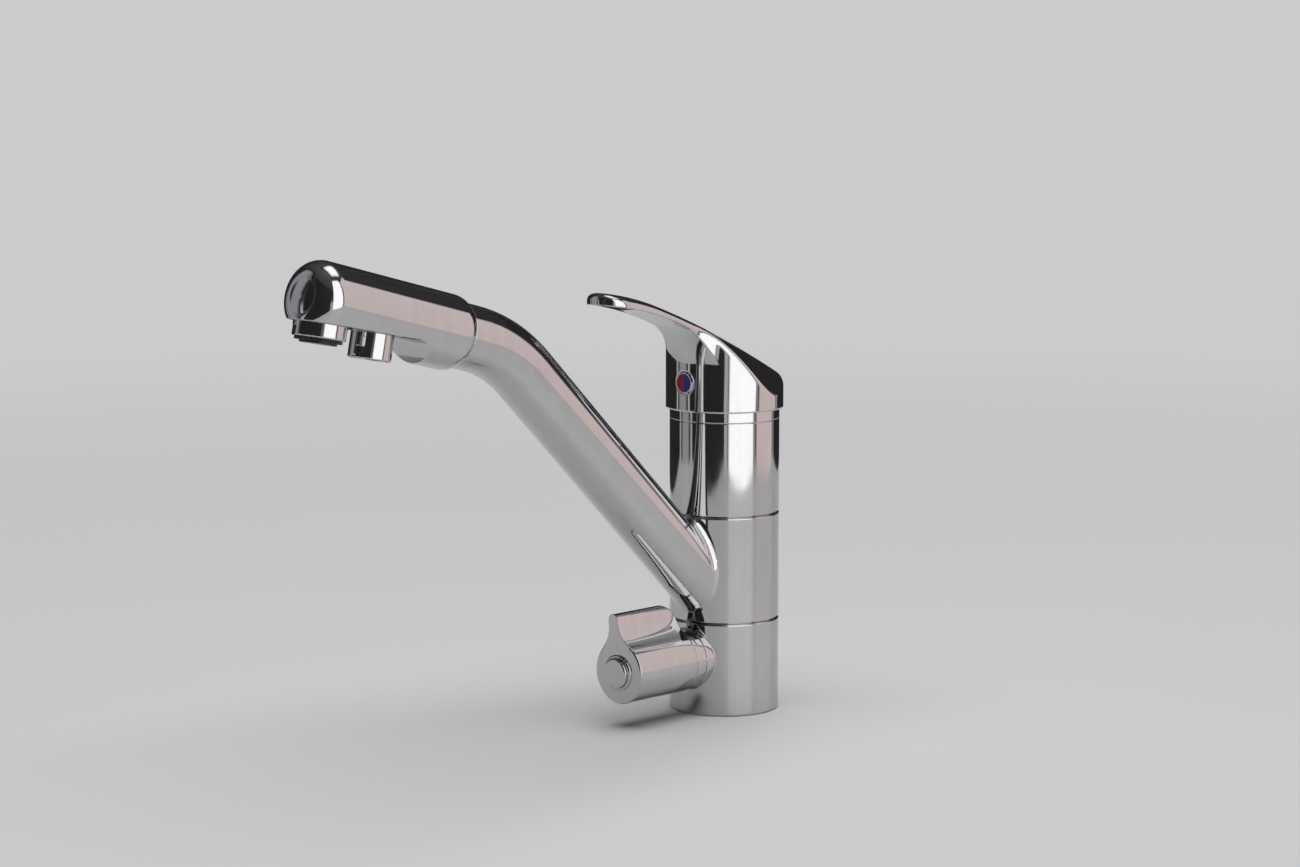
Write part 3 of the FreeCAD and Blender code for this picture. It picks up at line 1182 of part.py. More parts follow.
CHAMBER_FRONT = f"({SPINDLE_FLANGE_FRONT} + tap.disc_gap)"
bonnet = turned_piece("valve_bonnet", [
    ("tap.valve_bore_radius", VALVE_DISC_FRONT),
    ("tap.valve_bore_radius", f"{CHAMBER_FRONT} - tap.bonnet_wall"),
    ("tap.bonnet_waist_radius", CHAMBER_FRONT),
    ("tap.bonnet_waist_radius", f"{CHAMBER_FRONT} + tap.bonnet_waist"),
    ("tap.valve_bore_radius", f"{CHAMBER_FRONT} + tap.bonnet_waist"),
    ("tap.valve_bore_radius", BOSS_FACE),
    ("tap.bonnet_flange_radius", BOSS_FACE),
    ("tap.bonnet_flange_radius", BONNET_FLANGE),
    ("tap.bonnet_neck_radius", BONNET_FLANGE),
    ("tap.bonnet_neck_radius", BONNET_END),
    ("tap.valve_spindle_radius + tap.valve_fit", BONNET_END),
    ("tap.valve_spindle_radius + tap.valve_fit", CHAMBER_FRONT),
    ("tap.valve_disc_radius + tap.rotor_fit", f"{CHAMBER_FRONT} - tap.bonnet_wall / 2"),
    ("tap.valve_disc_radius + tap.rotor_fit", VALVE_DISC_FRONT),
])
for item in (valve_seal, valve_fixed_disc, bonnet):
    place_on_valve(item)
    pieces.append(item)
valve_spindle = turned_piece("valve_spindle", [
    ("0", VALVE_ROTOR_FRONT),
    ("tap.valve_spindle_flange_radius", VALVE_ROTOR_FRONT),
    ("tap.valve_spindle_flange_radius", f"{SPINDLE_FLANGE_FRONT} - tap.bonnet_wall"),
    ("tap.valve_spindle_radius", f"{SPINDLE_FLANGE_FRONT} - tap.bonnet_wall"),
    ("tap.valve_spindle_radius", SPINDLE_END),
    ("tap.knob_screw_radius", SPINDLE_END),
    ("tap.knob_screw_radius", KNOB_SCREW_END),
    ("0", KNOB_SCREW_END),
])

# Knob of the filter valve: hollow at the back, with a wing on top
knob = new_body("filter_knob")
turn(knob, "knob_round", [
    ("0", KNOB_REAR),
    ("tap.knob_radius - tap.knob_edge", KNOB_REAR),
    ("tap.knob_radius", f"{KNOB_REAR} + tap.knob_edge"),
    ("tap.knob_radius", f"{KNOB_FACE} - tap.knob_edge"),
    ("tap.knob_radius - tap.knob_edge", KNOB_FACE),
    ("0", KNOB_FACE),
])
wing_sketch = chain(new_sketch(knob, "wing_section", "XY_Plane", WING_REAR), [
    (f"-{FLANK_ACROSS}", FLANK_UP),
    (FLANK_ACROSS, FLANK_UP, "-tap.wing_flank_round"),
    ("tap.wing_half_width", FLANK_TOP),
    ("tap.wing_half_width", "tap.wing_height - tap.wing_half_width", "tap.wing_half_width"),
    ("0", "tap.wing_height", "tap.wing_half_width"),
    ("-tap.wing_half_width", "tap.wing_height - tap.wing_half_width"),
    ("-tap.wing_half_width", FLANK_TOP, "-tap.wing_flank_round"),
])
extrude(knob, "wing", wing_sketch, f"{KNOB_FACE} - {WING_REAR}")
wing_cut = chain(new_sketch(knob, "wing_rear_side", "YZ_Plane"), [
    ("tap.knob_radius", f"{WING_REAR} - {OVERCUT}"),
    ("tap.knob_radius", WING_REAR, "tap.wing_rear_round"),
    ("tap.wing_height", f"{WING_REAR} + tap.wing_rear_run"),
    (f"tap.wing_height + {OVERCUT}", f"{WING_REAR} + tap.wing_rear_run"),
    (f"tap.wing_height + {OVERCUT}", f"{WING_REAR} - {OVERCUT}"),
])
extrude(knob, "wing_rear_cut", wing_cut, "4 * tap.knob_radius", cut=True, both=True)
turn(knob, "knob_hollow", [
    ("0", f"{KNOB_REAR} - {OVERCUT}"),
    ("tap.knob_cavity_radius", f"{KNOB_REAR} - {OVERCUT}"),
    ("tap.knob_cavity_radius", KNOB_CAVITY_END),
    ("tap.valve_spindle_radius", KNOB_CAVITY_END),
    ("tap.valve_spindle_radius", SPINDLE_END),
    ("tap.knob_screw_radius + tap.thread_fit", SPINDLE_END),
    ("tap.knob_screw_radius + tap.thread_fit", KNOB_WEB_END),
    ("tap.knob_well_radius", KNOB_WEB_END),
    ("tap.knob_well_radius", f"{KNOB_FACE} + {OVERCUT}"),
    ("0", f"{KNOB_FACE} + {OVERCUT}"),
], cut=True)
knob_screw = turned_piece("knob_screw", [
    ("0", KNOB_SCREW_END),
    ("tap.knob_screw_radius", KNOB_SCREW_END),
    ("tap.knob_screw_radius", KNOB_WEB_END),
    ("tap.knob_screw_head_radius", KNOB_WEB_END),
    ("tap.knob_screw_head_radius", f"{KNOB_WEB_END} + tap.knob_screw_head"),
    ("0", f"{KNOB_WEB_END} + tap.knob_screw_head"),
])
knob_button = turned_piece("knob_button", [
    ("0", f"{KNOB_FACE} - tap.button_plug"),
    ("tap.knob_well_radius", f"{KNOB_FACE} - tap.button_plug"),
    ("tap.knob_well_radius", KNOB_FACE),
    ("tap.button_radius", KNOB_FACE),
    ("tap.button_radius", f"{KNOB_FACE} + tap.button_proud - tap.knob_edge"),
    ("tap.button_radius - tap.knob_edge", f"{KNOB_FACE} + tap.button_proud"),
    ("0", f"{KNOB_FACE} + tap.button_proud"),
])
button_ring = turned_piece("button_ring", [
    ("tap.button_radius + tap.spigot_fit", KNOB_FACE),
    ("tap.button_ring_radius", KNOB_FACE),
    ("tap.button_ring_radius", f"{KNOB_FACE} + tap.button_ring_proud / 2"),
    ("tap.button_ring_radius - tap.button_ring_proud / 2",
     f"{KNOB_FACE} + tap.button_ring_proud"),
    ("tap.button_radius + tap.spigot_fit", f"{KNOB_FACE} + tap.button_ring_proud"),
])
for item in (valve_turning_disc, valve_spindle, knob, knob_screw, knob_button, button_ring):
    place_on_valve(item, turned="tap.knob_rest_turn")
    pieces.append(item)

document.recompute()

# Check every step, then write one file for each piece
for item in document.Objects:
    if "Invalid" in item.State or "Error" in item.State:
        raise RuntimeError(f"{item.Name} was not built: {item.State}")
os.makedirs("parts", exist_ok=True)
for piece in pieces:
    if piece.Shape.isNull() or not piece.Shape.isValid():
        raise RuntimeError(f"{piece.Label} has no valid shape")
    piece.Shape.exportStep(os.path.join("parts", piece.Label + ".step"))
    print(piece.Label, round(piece.Shape.Volume), len(piece.Shape.Solids))
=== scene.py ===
# %% [markdown]
# # A three-in-one kitchen tap
# This lesson dresses a kitchen tap that is already modelled as real, separate
# metal, rubber and ceramic pieces. The tap has a round column, a swivelling
# spout with two outlets, a mixer lever on top and a small winged knob for
# filtered water. The shapes come with the frame, so what is left to learn here
# is how polished chrome, enamel, rubber and moulded plastic are made from
# procedural nodes, and how a bright metal is lit so that its form can be read.

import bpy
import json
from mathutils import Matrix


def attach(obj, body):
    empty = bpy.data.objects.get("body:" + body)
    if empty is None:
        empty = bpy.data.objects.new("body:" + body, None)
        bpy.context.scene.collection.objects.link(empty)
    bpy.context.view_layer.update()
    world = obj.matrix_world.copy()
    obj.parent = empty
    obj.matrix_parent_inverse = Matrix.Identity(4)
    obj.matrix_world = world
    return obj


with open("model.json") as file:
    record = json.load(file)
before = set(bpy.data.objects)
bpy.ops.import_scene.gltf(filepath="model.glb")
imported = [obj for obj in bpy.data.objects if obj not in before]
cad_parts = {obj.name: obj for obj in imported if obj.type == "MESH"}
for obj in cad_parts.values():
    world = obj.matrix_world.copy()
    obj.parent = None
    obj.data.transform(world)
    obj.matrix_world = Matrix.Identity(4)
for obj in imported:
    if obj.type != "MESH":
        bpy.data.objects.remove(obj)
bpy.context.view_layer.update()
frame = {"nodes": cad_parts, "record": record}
print("pieces in the frame:", len(frame["nodes"]))

# %% Modules and units
import json
import math

import bpy
from mathutils import Vector

MM = 0.001

# %% [markdown]
# ## Small helpers for node trees
# A material is a tree of nodes, and most of the code that builds one is the
# same few steps: add a node, set some of its sockets, join two sockets, stretch
# a mask between two numbers. Three short helpers keep each finish below down to
# the lines that make it special.


# %% Helpers that add and join nodes
def add_node(tree, kind, values=None, **settings):
    """A node of that kind, with its settings and its socket values."""
    node = tree.nodes.new(kind)
    for name, setting in settings.items():
        setattr(node, name, setting)
    for socket, value in (values or {}).items():
        node.inputs[socket].default_value = value
    return node


def join(tree, *pairs):
    """Links each (output socket, input socket) pair."""
    for source, target in pairs:
        tree.links.new(source, target)


def spread(tree, value, low, high):
    """A 0 to 1 value stretched between two numbers."""
    node = add_node(tree, "ShaderNodeMapRange", {"To Min": low, "To Max": high})
    join(tree, (value, node.inputs["Value"]))
    return node.outputs["Result"]


# %% [markdown]
# ## Shared effects
# Three effects come back in several finishes, so each is a node group with
# named inputs, built once. *Polish marks* gives the faint, cloudy change of
# gloss that wiping leaves on a bright surface, and the very low waves that a
# cast and buffed body keeps. *Fine grain* is the tiny pitting of moulded
# plastic and rubber. *Lathe lines* are the close rings that a cutting tool
# leaves round an axis.


# %% An empty shader group with named sockets
def new_group(name, inputs, outputs):
    """A node group with float inputs, a Position vector input and outputs."""
    tree = bpy.data.node_groups.new(name, "ShaderNodeTree")
    tree.interface.new_socket("Position", in_out="INPUT", socket_type="NodeSocketVector")
    for socket, value in inputs.items():
        made = tree.interface.new_socket(socket, in_out="INPUT", socket_type="NodeSocketFloat")
        made.default_value = value
    for socket in outputs:
        tree.interface.new_socket(socket, in_out="OUTPUT", socket_type="NodeSocketFloat")
    start = tree.nodes.new("NodeGroupInput")
    end = tree.nodes.new("NodeGroupOutput")
    return tree, start.outputs, end.inputs


# %% Polish marks
def polish_marks_group():
    """Cloudy wiping marks and the low waves of a buffed casting."""
    tree, given, result = new_group(
        "polish marks",
        {"Mark Size": 30.0, "Wave Size": 26.0},
        ("Marks", "Waves"),
    )
    cloud = add_node(tree, "ShaderNodeTexNoise",
                     {"Detail": 5.0, "Roughness": 0.62, "Distortion": 0.8})
    streak_map = add_node(tree, "ShaderNodeMapping", {"Scale": (1.0, 1.0, 0.22)})
    streak = add_node(tree, "ShaderNodeTexNoise", {"Detail": 3.0, "Roughness": 0.55})
    finer = add_node(tree, "ShaderNodeMath", {1: 7.0}, operation="MULTIPLY")
    both = add_node(tree, "ShaderNodeMath", operation="MULTIPLY")
    wave = add_node(tree, "ShaderNodeTexNoise", {"Detail": 1.0, "Roughness": 0.3})
    join(
        tree,
        (given["Position"], cloud.inputs["Vector"]),
        (given["Mark Size"], cloud.inputs["Scale"]),
        (given["Position"], streak_map.inputs["Vector"]),
        (streak_map.outputs["Vector"], streak.inputs["Vector"]),
        (given["Mark Size"], finer.inputs[0]),
        (finer.outputs["Value"], streak.inputs["Scale"]),
        (cloud.outputs["Fac"], both.inputs[0]),
        (streak.outputs["Fac"], both.inputs[1]),
        (given["Position"], wave.inputs["Vector"]),
        (given["Wave Size"], wave.inputs["Scale"]),
        (wave.outputs["Fac"], result["Waves"]),
    )
    # The product of two noises lies mostly between 0.1 and 0.45
    marks = add_node(tree, "ShaderNodeMapRange", {"From Min": 0.1, "From Max": 0.45})
    join(tree, (both.outputs["Value"], marks.inputs["Value"]),
         (marks.outputs["Result"], result["Marks"]))
    return tree


# %% Fine grain
def fine_grain_group():
    """Tiny pits of a moulded surface, and broad soft patches in its tone."""
    tree, given, result = new_group(
        "fine grain",
        {"Grain Size": 2200.0, "Patch Size": 90.0},
        ("Grain", "Patches"),
    )
    cells = add_node(tree, "ShaderNodeTexVoronoi", {"Randomness": 1.0})
    soft = add_node(tree, "ShaderNodeTexNoise", {"Detail": 2.0})
    half = add_node(tree, "ShaderNodeMath", {1: 0.5}, operation="MULTIPLY")
    total = add_node(tree, "ShaderNodeMath", operation="ADD")
    patch = add_node(tree, "ShaderNodeTexNoise", {"Detail": 3.0, "Roughness": 0.5})
    join(
        tree,
        (given["Position"], cells.inputs["Vector"]),
        (given["Grain Size"], cells.inputs["Scale"]),
        (given["Position"], soft.inputs["Vector"]),
        (given["Grain Size"], soft.inputs["Scale"]),
        (cells.outputs["Distance"], half.inputs[0]),
        (half.outputs["Value"], total.inputs[0]),
        (soft.outputs["Fac"], total.inputs[1]),
        (total.outputs["Value"], result["Grain"]),
        (given["Position"], patch.inputs["Vector"]),
        (given["Patch Size"], patch.inputs["Scale"]),
        (patch.outputs["Fac"], result["Patches"]),
    )
    return tree


# %% Lathe lines
def lathe_lines_group():
    """Close rings round the column's axis, broken up by a little noise."""
    tree, given, result = new_group(
        "lathe lines",
        {"Line Count": 900.0, "Wander": 1.5},
        ("Lines",),
    )
    rings = add_node(tree, "ShaderNodeTexWave", {"Detail": 2.0, "Detail Scale": 1.4},
                     wave_type="BANDS", bands_direction="Z")
    join(
        tree,
        (given["Position"], rings.inputs["Vector"]),
        (given["Line Count"], rings.inputs["Scale"]),
        (given["Wander"], rings.inputs["Distortion"]),
        (rings.outputs["Fac"], result["Lines"]),
    )
    return tree


polish_marks = polish_marks_group()
fine_grain = fine_grain_group()
lathe_lines = lathe_lines_group()
print("shared groups:", [group.name for group in (polish_marks, fine_grain, lathe_lines)])


# %% [markdown]
# ## The start of every finish
# Each finish begins in the same way: a Principled surface with its plain
# numbers set on its own sockets, and the object's position as the pattern's
# coordinate. Every piece keeps its place in its mesh and its object sits at
# the origin, so that position is in metres, and a noise of scale 100 has
# features of about a centimetre on every piece alike.


# %% A material with a Principled surface and a position
def new_finish(name, **plain):
    """The material, its tree, its surface's inputs and the position socket."""
    material = bpy.data.materials.new(name)
    material.use_nodes = True
    tree = material.node_tree
    surface = tree.nodes["Principled BSDF"].inputs
    for socket, value in plain.items():
        surface[socket.replace("_", " ")].default_value = value
    place = add_node(tree, "ShaderNodeTexCoord").outputs["Object"]
    return material, tree, surface, place


def use_group(tree, group, place, **values):
    """The outputs of a shared group that reads the position."""
    node = add_node(tree, "ShaderNodeGroup", node_tree=group)
    for socket, value in values.items():
        node.inputs[socket.replace("_", " ")].default_value = value
    join(tree, (place, node.inputs["Position"]))
    return node.outputs


def two_tones(tree, mask, first, second, target):
    """A colour that goes from the first tone to the second by a mask."""
    # Sockets 6 and 7 are the colours that a Mix node mixes
    mix = add_node(tree, "ShaderNodeMix", {6: (*first, 1.0), 7: (*second, 1.0)}, data_type="RGBA")
    join(tree, (mask, mix.inputs["Factor"]), (mix.outputs[2], target))


def raised(tree, surface, height, strength, depth):
    """Turns a height into the surface's normal, and gives back the Bump node."""
    bump = add_node(tree, "ShaderNodeBump", {"Strength": strength, "Distance": depth})
    join(tree, (height, bump.inputs["Height"]), (bump.outputs["Normal"], surface["Normal"]))
    return bump


# %% [markdown]
# ## Polished chrome
# Nearly everything that shows on this tap is brass plated with bright chrome.
# Chrome is a metal, so all its look is reflection: a plain grey with an almost
# mirror-like gloss. What keeps it from looking like a computer mirror are the
# faint cloudy marks in its gloss and the very low waves that buffing leaves,
# which bend long reflections a little. Polishing also softens every edge, and a
# softened edge catches a thin line of light. A Bevel node gives that: it turns
# the surface's normal near an edge, as if it were round. The lever is buffed
# by hand along its crest, so its edges are softer.


# %% Make the polished chrome
EDGE_SOFTNESS = 0.55 * MM
LEVER_SOFTNESS = 1.1 * MM
EDGE_SAMPLES = 16
CHROME_TONES = ((0.565, 0.56, 0.565), (0.52, 0.515, 0.52))


def polished_chrome(name, softness):
    """Chrome whose edges look rounded by the given radius."""
    material, tree, surface, place = new_finish(name, Metallic=1.0)
    marks = use_group(tree, polish_marks, place, Mark_Size=34.0, Wave_Size=30.0)
    two_tones(tree, marks["Marks"], *CHROME_TONES, surface["Base Color"])
    join(tree, (spread(tree, marks["Marks"], 0.035, 0.085), surface["Roughness"]))
    soft_edge = add_node(tree, "ShaderNodeBevel", {"Radius": softness}, samples=EDGE_SAMPLES)
    waves = raised(tree, surface, marks["Waves"], 0.35, 0.12 * MM)
    join(tree, (soft_edge.outputs["Normal"], waves.inputs["Normal"]))
    return material


# %% [markdown]
# ## Turned brass
# The nut, the spindle and the other inner fittings are bare brass, straight
# from the lathe. Fine lines run round them, and the tone drifts a little
# between yellow and brown where the metal has been handled.


# %% Make the turned brass
BRASS_TONES = ((0.80, 0.62, 0.33), (0.66, 0.49, 0.25))


def turned_brass():
    """Brass with fine tool lines and a tone that drifts."""
    material, tree, surface, place = new_finish("turned brass", Metallic=1.0)
    marks = use_group(tree, polish_marks, place, Mark_Size=70.0, Wave_Size=40.0)
    lines = use_group(tree, lathe_lines, place, Line_Count=1100.0, Wander=0.8)
    two_tones(tree, marks["Marks"], *BRASS_TONES, surface["Base Color"])
    join(tree, (spread(tree, marks["Marks"], 0.2, 0.36), surface["Roughness"]))
    raised(tree, surface, lines["Lines"], 0.25, 0.03 * MM)
    return material


# %% [markdown]
# ## Stainless screws, pin and mesh
# The small fasteners and the outlet's wire mesh are stainless steel, brushed
# rather than polished. The brushing is the lathe-line group again, finer and
# more broken.


# %% Make the brushed steel
STEEL_TONES = ((0.60, 0.60, 0.61), (0.48, 0.48, 0.49))


def brushed_steel():
    """Steel with close, broken brush lines."""
    material, tree, surface, place = new_finish("brushed steel", Metallic=1.0)
    marks = use_group(tree, polish_marks, place, Mark_Size=120.0, Wave_Size=60.0)
    lines = use_group(tree, lathe_lines, place, Line_Count=2600.0, Wander=4.0)
    two_tones(tree, marks["Marks"], *STEEL_TONES, surface["Base Color"])
    join(tree, (spread(tree, lines["Lines"], 0.22, 0.42), surface["Roughness"]))
    raised(tree, surface, lines["Lines"], 0.3, 0.02 * MM)
    return material


# %% [markdown]
# ## Rubber, plastics and ceramic
# The seals, the cartridge and the inserts are hardly seen, but each has its
# own finish, for anyone who takes the tap apart. They share one recipe: two
# close tones in soft patches, a grain in the normal and a roughness that
# follows the patches. Only the numbers differ.


# %% One recipe for moulded and pressed materials
def moulded(name, tones, gloss, grain_size, grain_depth, patch_size=90.0, **plain):
    """A dielectric with patches in its tone and gloss, and a fine grain."""
    material, tree, surface, place = new_finish(name, **plain)
    grain = use_group(tree, fine_grain, place, Grain_Size=grain_size, Patch_Size=patch_size)
    two_tones(tree, grain["Patches"], *tones, surface["Base Color"])
    join(tree, (spread(tree, grain["Patches"], *gloss), surface["Roughness"]))
    raised(tree, surface, grain["Grain"], 0.5, grain_depth * MM)
    return material


def seal_rubber():
    return moulded("seal rubber", ((0.028, 0.028, 0.03), (0.055, 0.055, 0.055)),
                   (0.52, 0.72), 1900.0, 0.03)


def inner_plastic():
    return moulded("cartridge plastic", ((0.84, 0.83, 0.78), (0.78, 0.77, 0.72)),
                   (0.36, 0.5), 2600.0, 0.015)


def disc_ceramic():
    return moulded("lapped ceramic", ((0.93, 0.92, 0.88), (0.88, 0.87, 0.83)),
                   (0.08, 0.2), 3200.0, 0.004, patch_size=160.0, Coat_Weight=0.3)


def hose_plastic():
    return moulded("water tube plastic", ((0.88, 0.89, 0.9), (0.82, 0.83, 0.85)),
                   (0.24, 0.34), 1500.0, 0.008)


def insert_plastic():
    return moulded("insert plastic", ((0.022, 0.022, 0.024), (0.045, 0.045, 0.047)),
                   (0.4, 0.55), 2400.0, 0.02)


# %% [markdown]
# ## The badge: red and blue enamel in a bright rim
# The round badge on the lever's front shows which way is hot. Its left half
# is red and its right half is blue, both dark and glossy, and a thin metal
# rim holds them. All of it is one small disc, so the material decides what
# each point is from its position: the distance from the disc's centre gives
# the rim, and the sign of X gives the colour.

# %% Sizes and colours of the badge
BADGE_CENTRE_HEIGHT = 144.4 * MM
ENAMEL_RADIUS = 4.0 * MM
ENAMEL_RED = (0.30, 0.010, 0.016)
ENAMEL_BLUE = (0.010, 0.028, 0.25)
RIM_METAL = (0.56, 0.555, 0.56)


# %% Make the badge's enamel
def badge_enamel():
    """Red and blue halves inside a metal rim, all from the position."""
    material, tree, surface, place = new_finish("badge enamel", Specular_IOR_Level=0.3)
    marks = use_group(tree, polish_marks, place, Mark_Size=300.0, Wave_Size=120.0)
    axes = add_node(tree, "ShaderNodeSeparateXYZ")
    centred = add_node(tree, "ShaderNodeVectorMath", {1: (0.0, 0.0, BADGE_CENTRE_HEIGHT)},
                       operation="SUBTRACT")
    level = add_node(tree, "ShaderNodeVectorMath", {1: (1.0, 0.0, 1.0)}, operation="MULTIPLY")
    away = add_node(tree, "ShaderNodeVectorMath", operation="LENGTH")
    rim = add_node(tree, "ShaderNodeMath", {1: ENAMEL_RADIUS}, operation="GREATER_THAN")
    right = add_node(tree, "ShaderNodeMath", {1: 0.0}, operation="GREATER_THAN")
    halves = add_node(tree, "ShaderNodeMix", {6: (*ENAMEL_RED, 1.0), 7: (*ENAMEL_BLUE, 1.0)},
                      data_type="RGBA")
    whole = add_node(tree, "ShaderNodeMix", {7: (*RIM_METAL, 1.0)}, data_type="RGBA")
    join(
        tree,
        (place, axes.inputs["Vector"]),
        (place, centred.inputs[0]),
        (centred.outputs["Vector"], level.inputs[0]),
        (level.outputs["Vector"], away.inputs[0]),
        (away.outputs["Value"], rim.inputs[0]),
        (axes.outputs["X"], right.inputs[0]),
        (right.outputs["Value"], halves.inputs["Factor"]),
        (rim.outputs["Value"], whole.inputs["Factor"]),
        (halves.outputs[2], whole.inputs[6]),
        (whole.outputs[2], surface["Base Color"]),
        (rim.outputs["Value"], surface["Metallic"]),
        (spread(tree, marks["Marks"], 0.06, 0.14), surface["Roughness"]),
    )
    return material


# %% Build each finish once and give it to the pieces of its slot
def give_finish(piece, finish):
    """The piece's one material becomes this finish."""
    piece.data.materials.clear()
    piece.data.materials.append(finish)


finishes = {
    "polished_chrome": polished_chrome("polished chrome", EDGE_SOFTNESS),
    "plain_brass": turned_brass(),
    "screw_steel": brushed_steel(),
    "seal_rubber": seal_rubber(),
    "inner_plastic": inner_plastic(),
    "disc_ceramic": disc_ceramic(),
    "hose_plastic": hose_plastic(),
    "insert_plastic": insert_plastic(),
    "badge_enamel": badge_enamel(),
}
for subpart in frame["record"]["subparts"]:
    give_finish(frame["nodes"][subpart["node"]], finishes[subpart["material_slot"]])
give_finish(frame["nodes"]["lever"], polished_chrome("lever chrome", LEVER_SOFTNESS))
print("finishes:", len(finishes))

# %% [markdown]
# ## The aerator's wire mesh
# Under the main outlet, water leaves through a round sieve of fine crossed
# wires. A pattern in the material would stay flat when seen from below, so
# the wires are real: thin round bars in two layers, cut to the length that
# the round opening leaves at their place. The outlet leans with the spout's
# head, so one layer runs across the tap and the other along the head's slope.

# %% Place and sizes of the wire mesh
# The sieve's centre, its direction along the head and its direction out of the outlet
SIEVE_CENTRE = Vector((0.0, -230.08 * MM, 178.37 * MM))
SIEVE_ALONG = Vector((0.0, 0.9781, -0.2079))
SIEVE_OUT = Vector((0.0, -0.2079, -0.9781))
ACROSS = Vector((1.0, 0.0, 0.0))
SIEVE_RADIUS = 6.55 * MM
WIRE_RADIUS = 0.13 * MM
WIRE_PITCH = 0.9 * MM
WIRE_SIDES = 8
# The second layer lies a little less than a wire's thickness below the first
LAYER_STEP = 1.9 * WIRE_RADIUS


# %% Weave the wire mesh
def wire_bar(start, end, radius):
    """Corners and faces of a straight round bar between two points."""
    along = (end - start).normalized()
    side = along.cross(SIEVE_OUT).normalized()
    corners = []
    for point in (start, end):
        for step in range(WIRE_SIDES):
            turn = math.tau * step / WIRE_SIDES
            corners.append(point + radius * (math.cos(turn) * side + math.sin(turn) * SIEVE_OUT))
    faces = [
        (step, (step + 1) % WIRE_SIDES, WIRE_SIDES + (step + 1) % WIRE_SIDES, WIRE_SIDES + step)
        for step in range(WIRE_SIDES)
    ]
    faces.append(tuple(reversed(range(WIRE_SIDES))))
    faces.append(tuple(range(WIRE_SIDES, 2 * WIRE_SIDES)))
    return corners, faces


def wire_sieve():
    """Two crossed layers of wires inside the outlet's rim."""
    corners, faces = [], []
    count = int(SIEVE_RADIUS / WIRE_PITCH)
    for layer, (run, step_way) in enumerate(((ACROSS, SIEVE_ALONG), (SIEVE_ALONG, ACROSS))):
        depth = SIEVE_OUT * (WIRE_RADIUS + LAYER_STEP * layer)
        for number in range(-count, count + 1):
            offset = number * WIRE_PITCH
            half = math.sqrt(SIEVE_RADIUS ** 2 - offset ** 2)
            middle = SIEVE_CENTRE + depth + step_way * offset
            bar, sides = wire_bar(middle - run * half, middle + run * half, WIRE_RADIUS)
            first = len(corners)
            corners += bar
            faces += [tuple(first + corner for corner in face) for face in sides]
    return corners, faces


# %% Put the wire mesh in the outlet
def new_piece(name, corners, faces, finish):
    """An object made of these corners and faces, with one finish."""
    mesh = bpy.data.meshes.new(name)
    mesh.from_pydata([tuple(corner) for corner in corners], [], faces)
    mesh.update()
    mesh.materials.append(finish)
    piece = bpy.data.objects.new(name, mesh)
    bpy.context.scene.collection.objects.link(piece)
    return piece


sieve = new_piece("aerator_sieve", *wire_sieve(), finishes["screw_steel"])
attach(sieve, "spout_body")
print("sieve faces:", len(sieve.data.polygons))

# %% [markdown]
# ## The insert's toothed flange
# The dark insert is pushed into the main outlet from below and pulled out by
# its edge, so that edge is a flange with small teeth, wider than the insert
# and a little narrower than the chromed ring above it. It is a flat ring whose
# outer wall steps in and out, so one list of points round the circle makes it:
# each tooth has a tip of two points and a gap of two points.

# %% Sizes of the toothed flange
# The flange's top lies this far above the wire mesh
FLANGE_RISE = 1.6 * MM
FLANGE_TOP = SIEVE_CENTRE - SIEVE_OUT * FLANGE_RISE
FLANGE_THICKNESS = 1.3 * MM
FLANGE_BORE = 7.35 * MM
FLANGE_RADIUS = 9.4 * MM
TOOTH_DEPTH = 0.4 * MM
TOOTH_COUNT = 44
POINTS_PER_TOOTH = 4


# %% Cut the flange's teeth
def toothed_flange():
    """Corners and faces of a flat ring with small teeth round its outer wall."""
    steps = POINTS_PER_TOOTH * TOOTH_COUNT
    # The first two points of each tooth are its tip, the other two its gap
    toothed = [FLANGE_RADIUS - (TOOTH_DEPTH if step % POINTS_PER_TOOTH > 1 else 0.0)
               for step in range(steps)]
    plain = [FLANGE_BORE] * steps
    corners = []
    for drop in (0.0, FLANGE_THICKNESS):
        for radii in (toothed, plain):
            for step, radius in enumerate(radii):
                turn = math.tau * step / steps
                around = math.cos(turn) * ACROSS + math.sin(turn) * SIEVE_ALONG
                corners.append(FLANGE_TOP + SIEVE_OUT * drop + radius * around)
    outer_top, inner_top, outer_low, inner_low = (ring * steps for ring in range(4))
    walls = (
        (outer_top, outer_low),
        (outer_low, inner_low),
        (inner_low, inner_top),
        (inner_top, outer_top),
    )
    faces = []
    for first, second in walls:
        for step in range(steps):
            following = (step + 1) % steps
            faces.append((first + step, first + following, second + following, second + step))
    return corners, faces


flange = new_piece("insert_flange", *toothed_flange(), finishes["insert_plastic"])
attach(flange, "spout_body")
print("flange faces:", len(flange.data.polygons))

# %% [markdown]
# ## A pale floor
# The tap stands on a plain pale floor that runs to the horizon. Chrome shows
# its surroundings, so the floor is also what most of the column reflects. A
# little mottling in its tone keeps it from looking like paper. Its low gloss
# works only where the tap mirrors it, and draws soft bands down the column.
# Seen straight, a glossy floor would show the foot of each panel as a line.
# Lamps near the tap can't light a floor that has no end, so away from the tap
# it goes over into an even glow of the same pale tone, like the lit backdrop
# of a studio. The camera sees that glow, and so do reflections, but it sends
# no light to the tap, and the floor keeps the tap's shadow.

# %% Sizes and tones of the floor
FLOOR_RADIUS = 60.0
FLOOR_TONES = ((0.78, 0.78, 0.78), (0.75, 0.75, 0.75))
MIRRORED_GLOSS = 0.4
# The glow begins this far from the tap, and is all that shows from there on
GLOW_START = 0.15
GLOW_END = 1.5
GLOW_TONE = (0.60, 0.60, 0.60, 1.0)


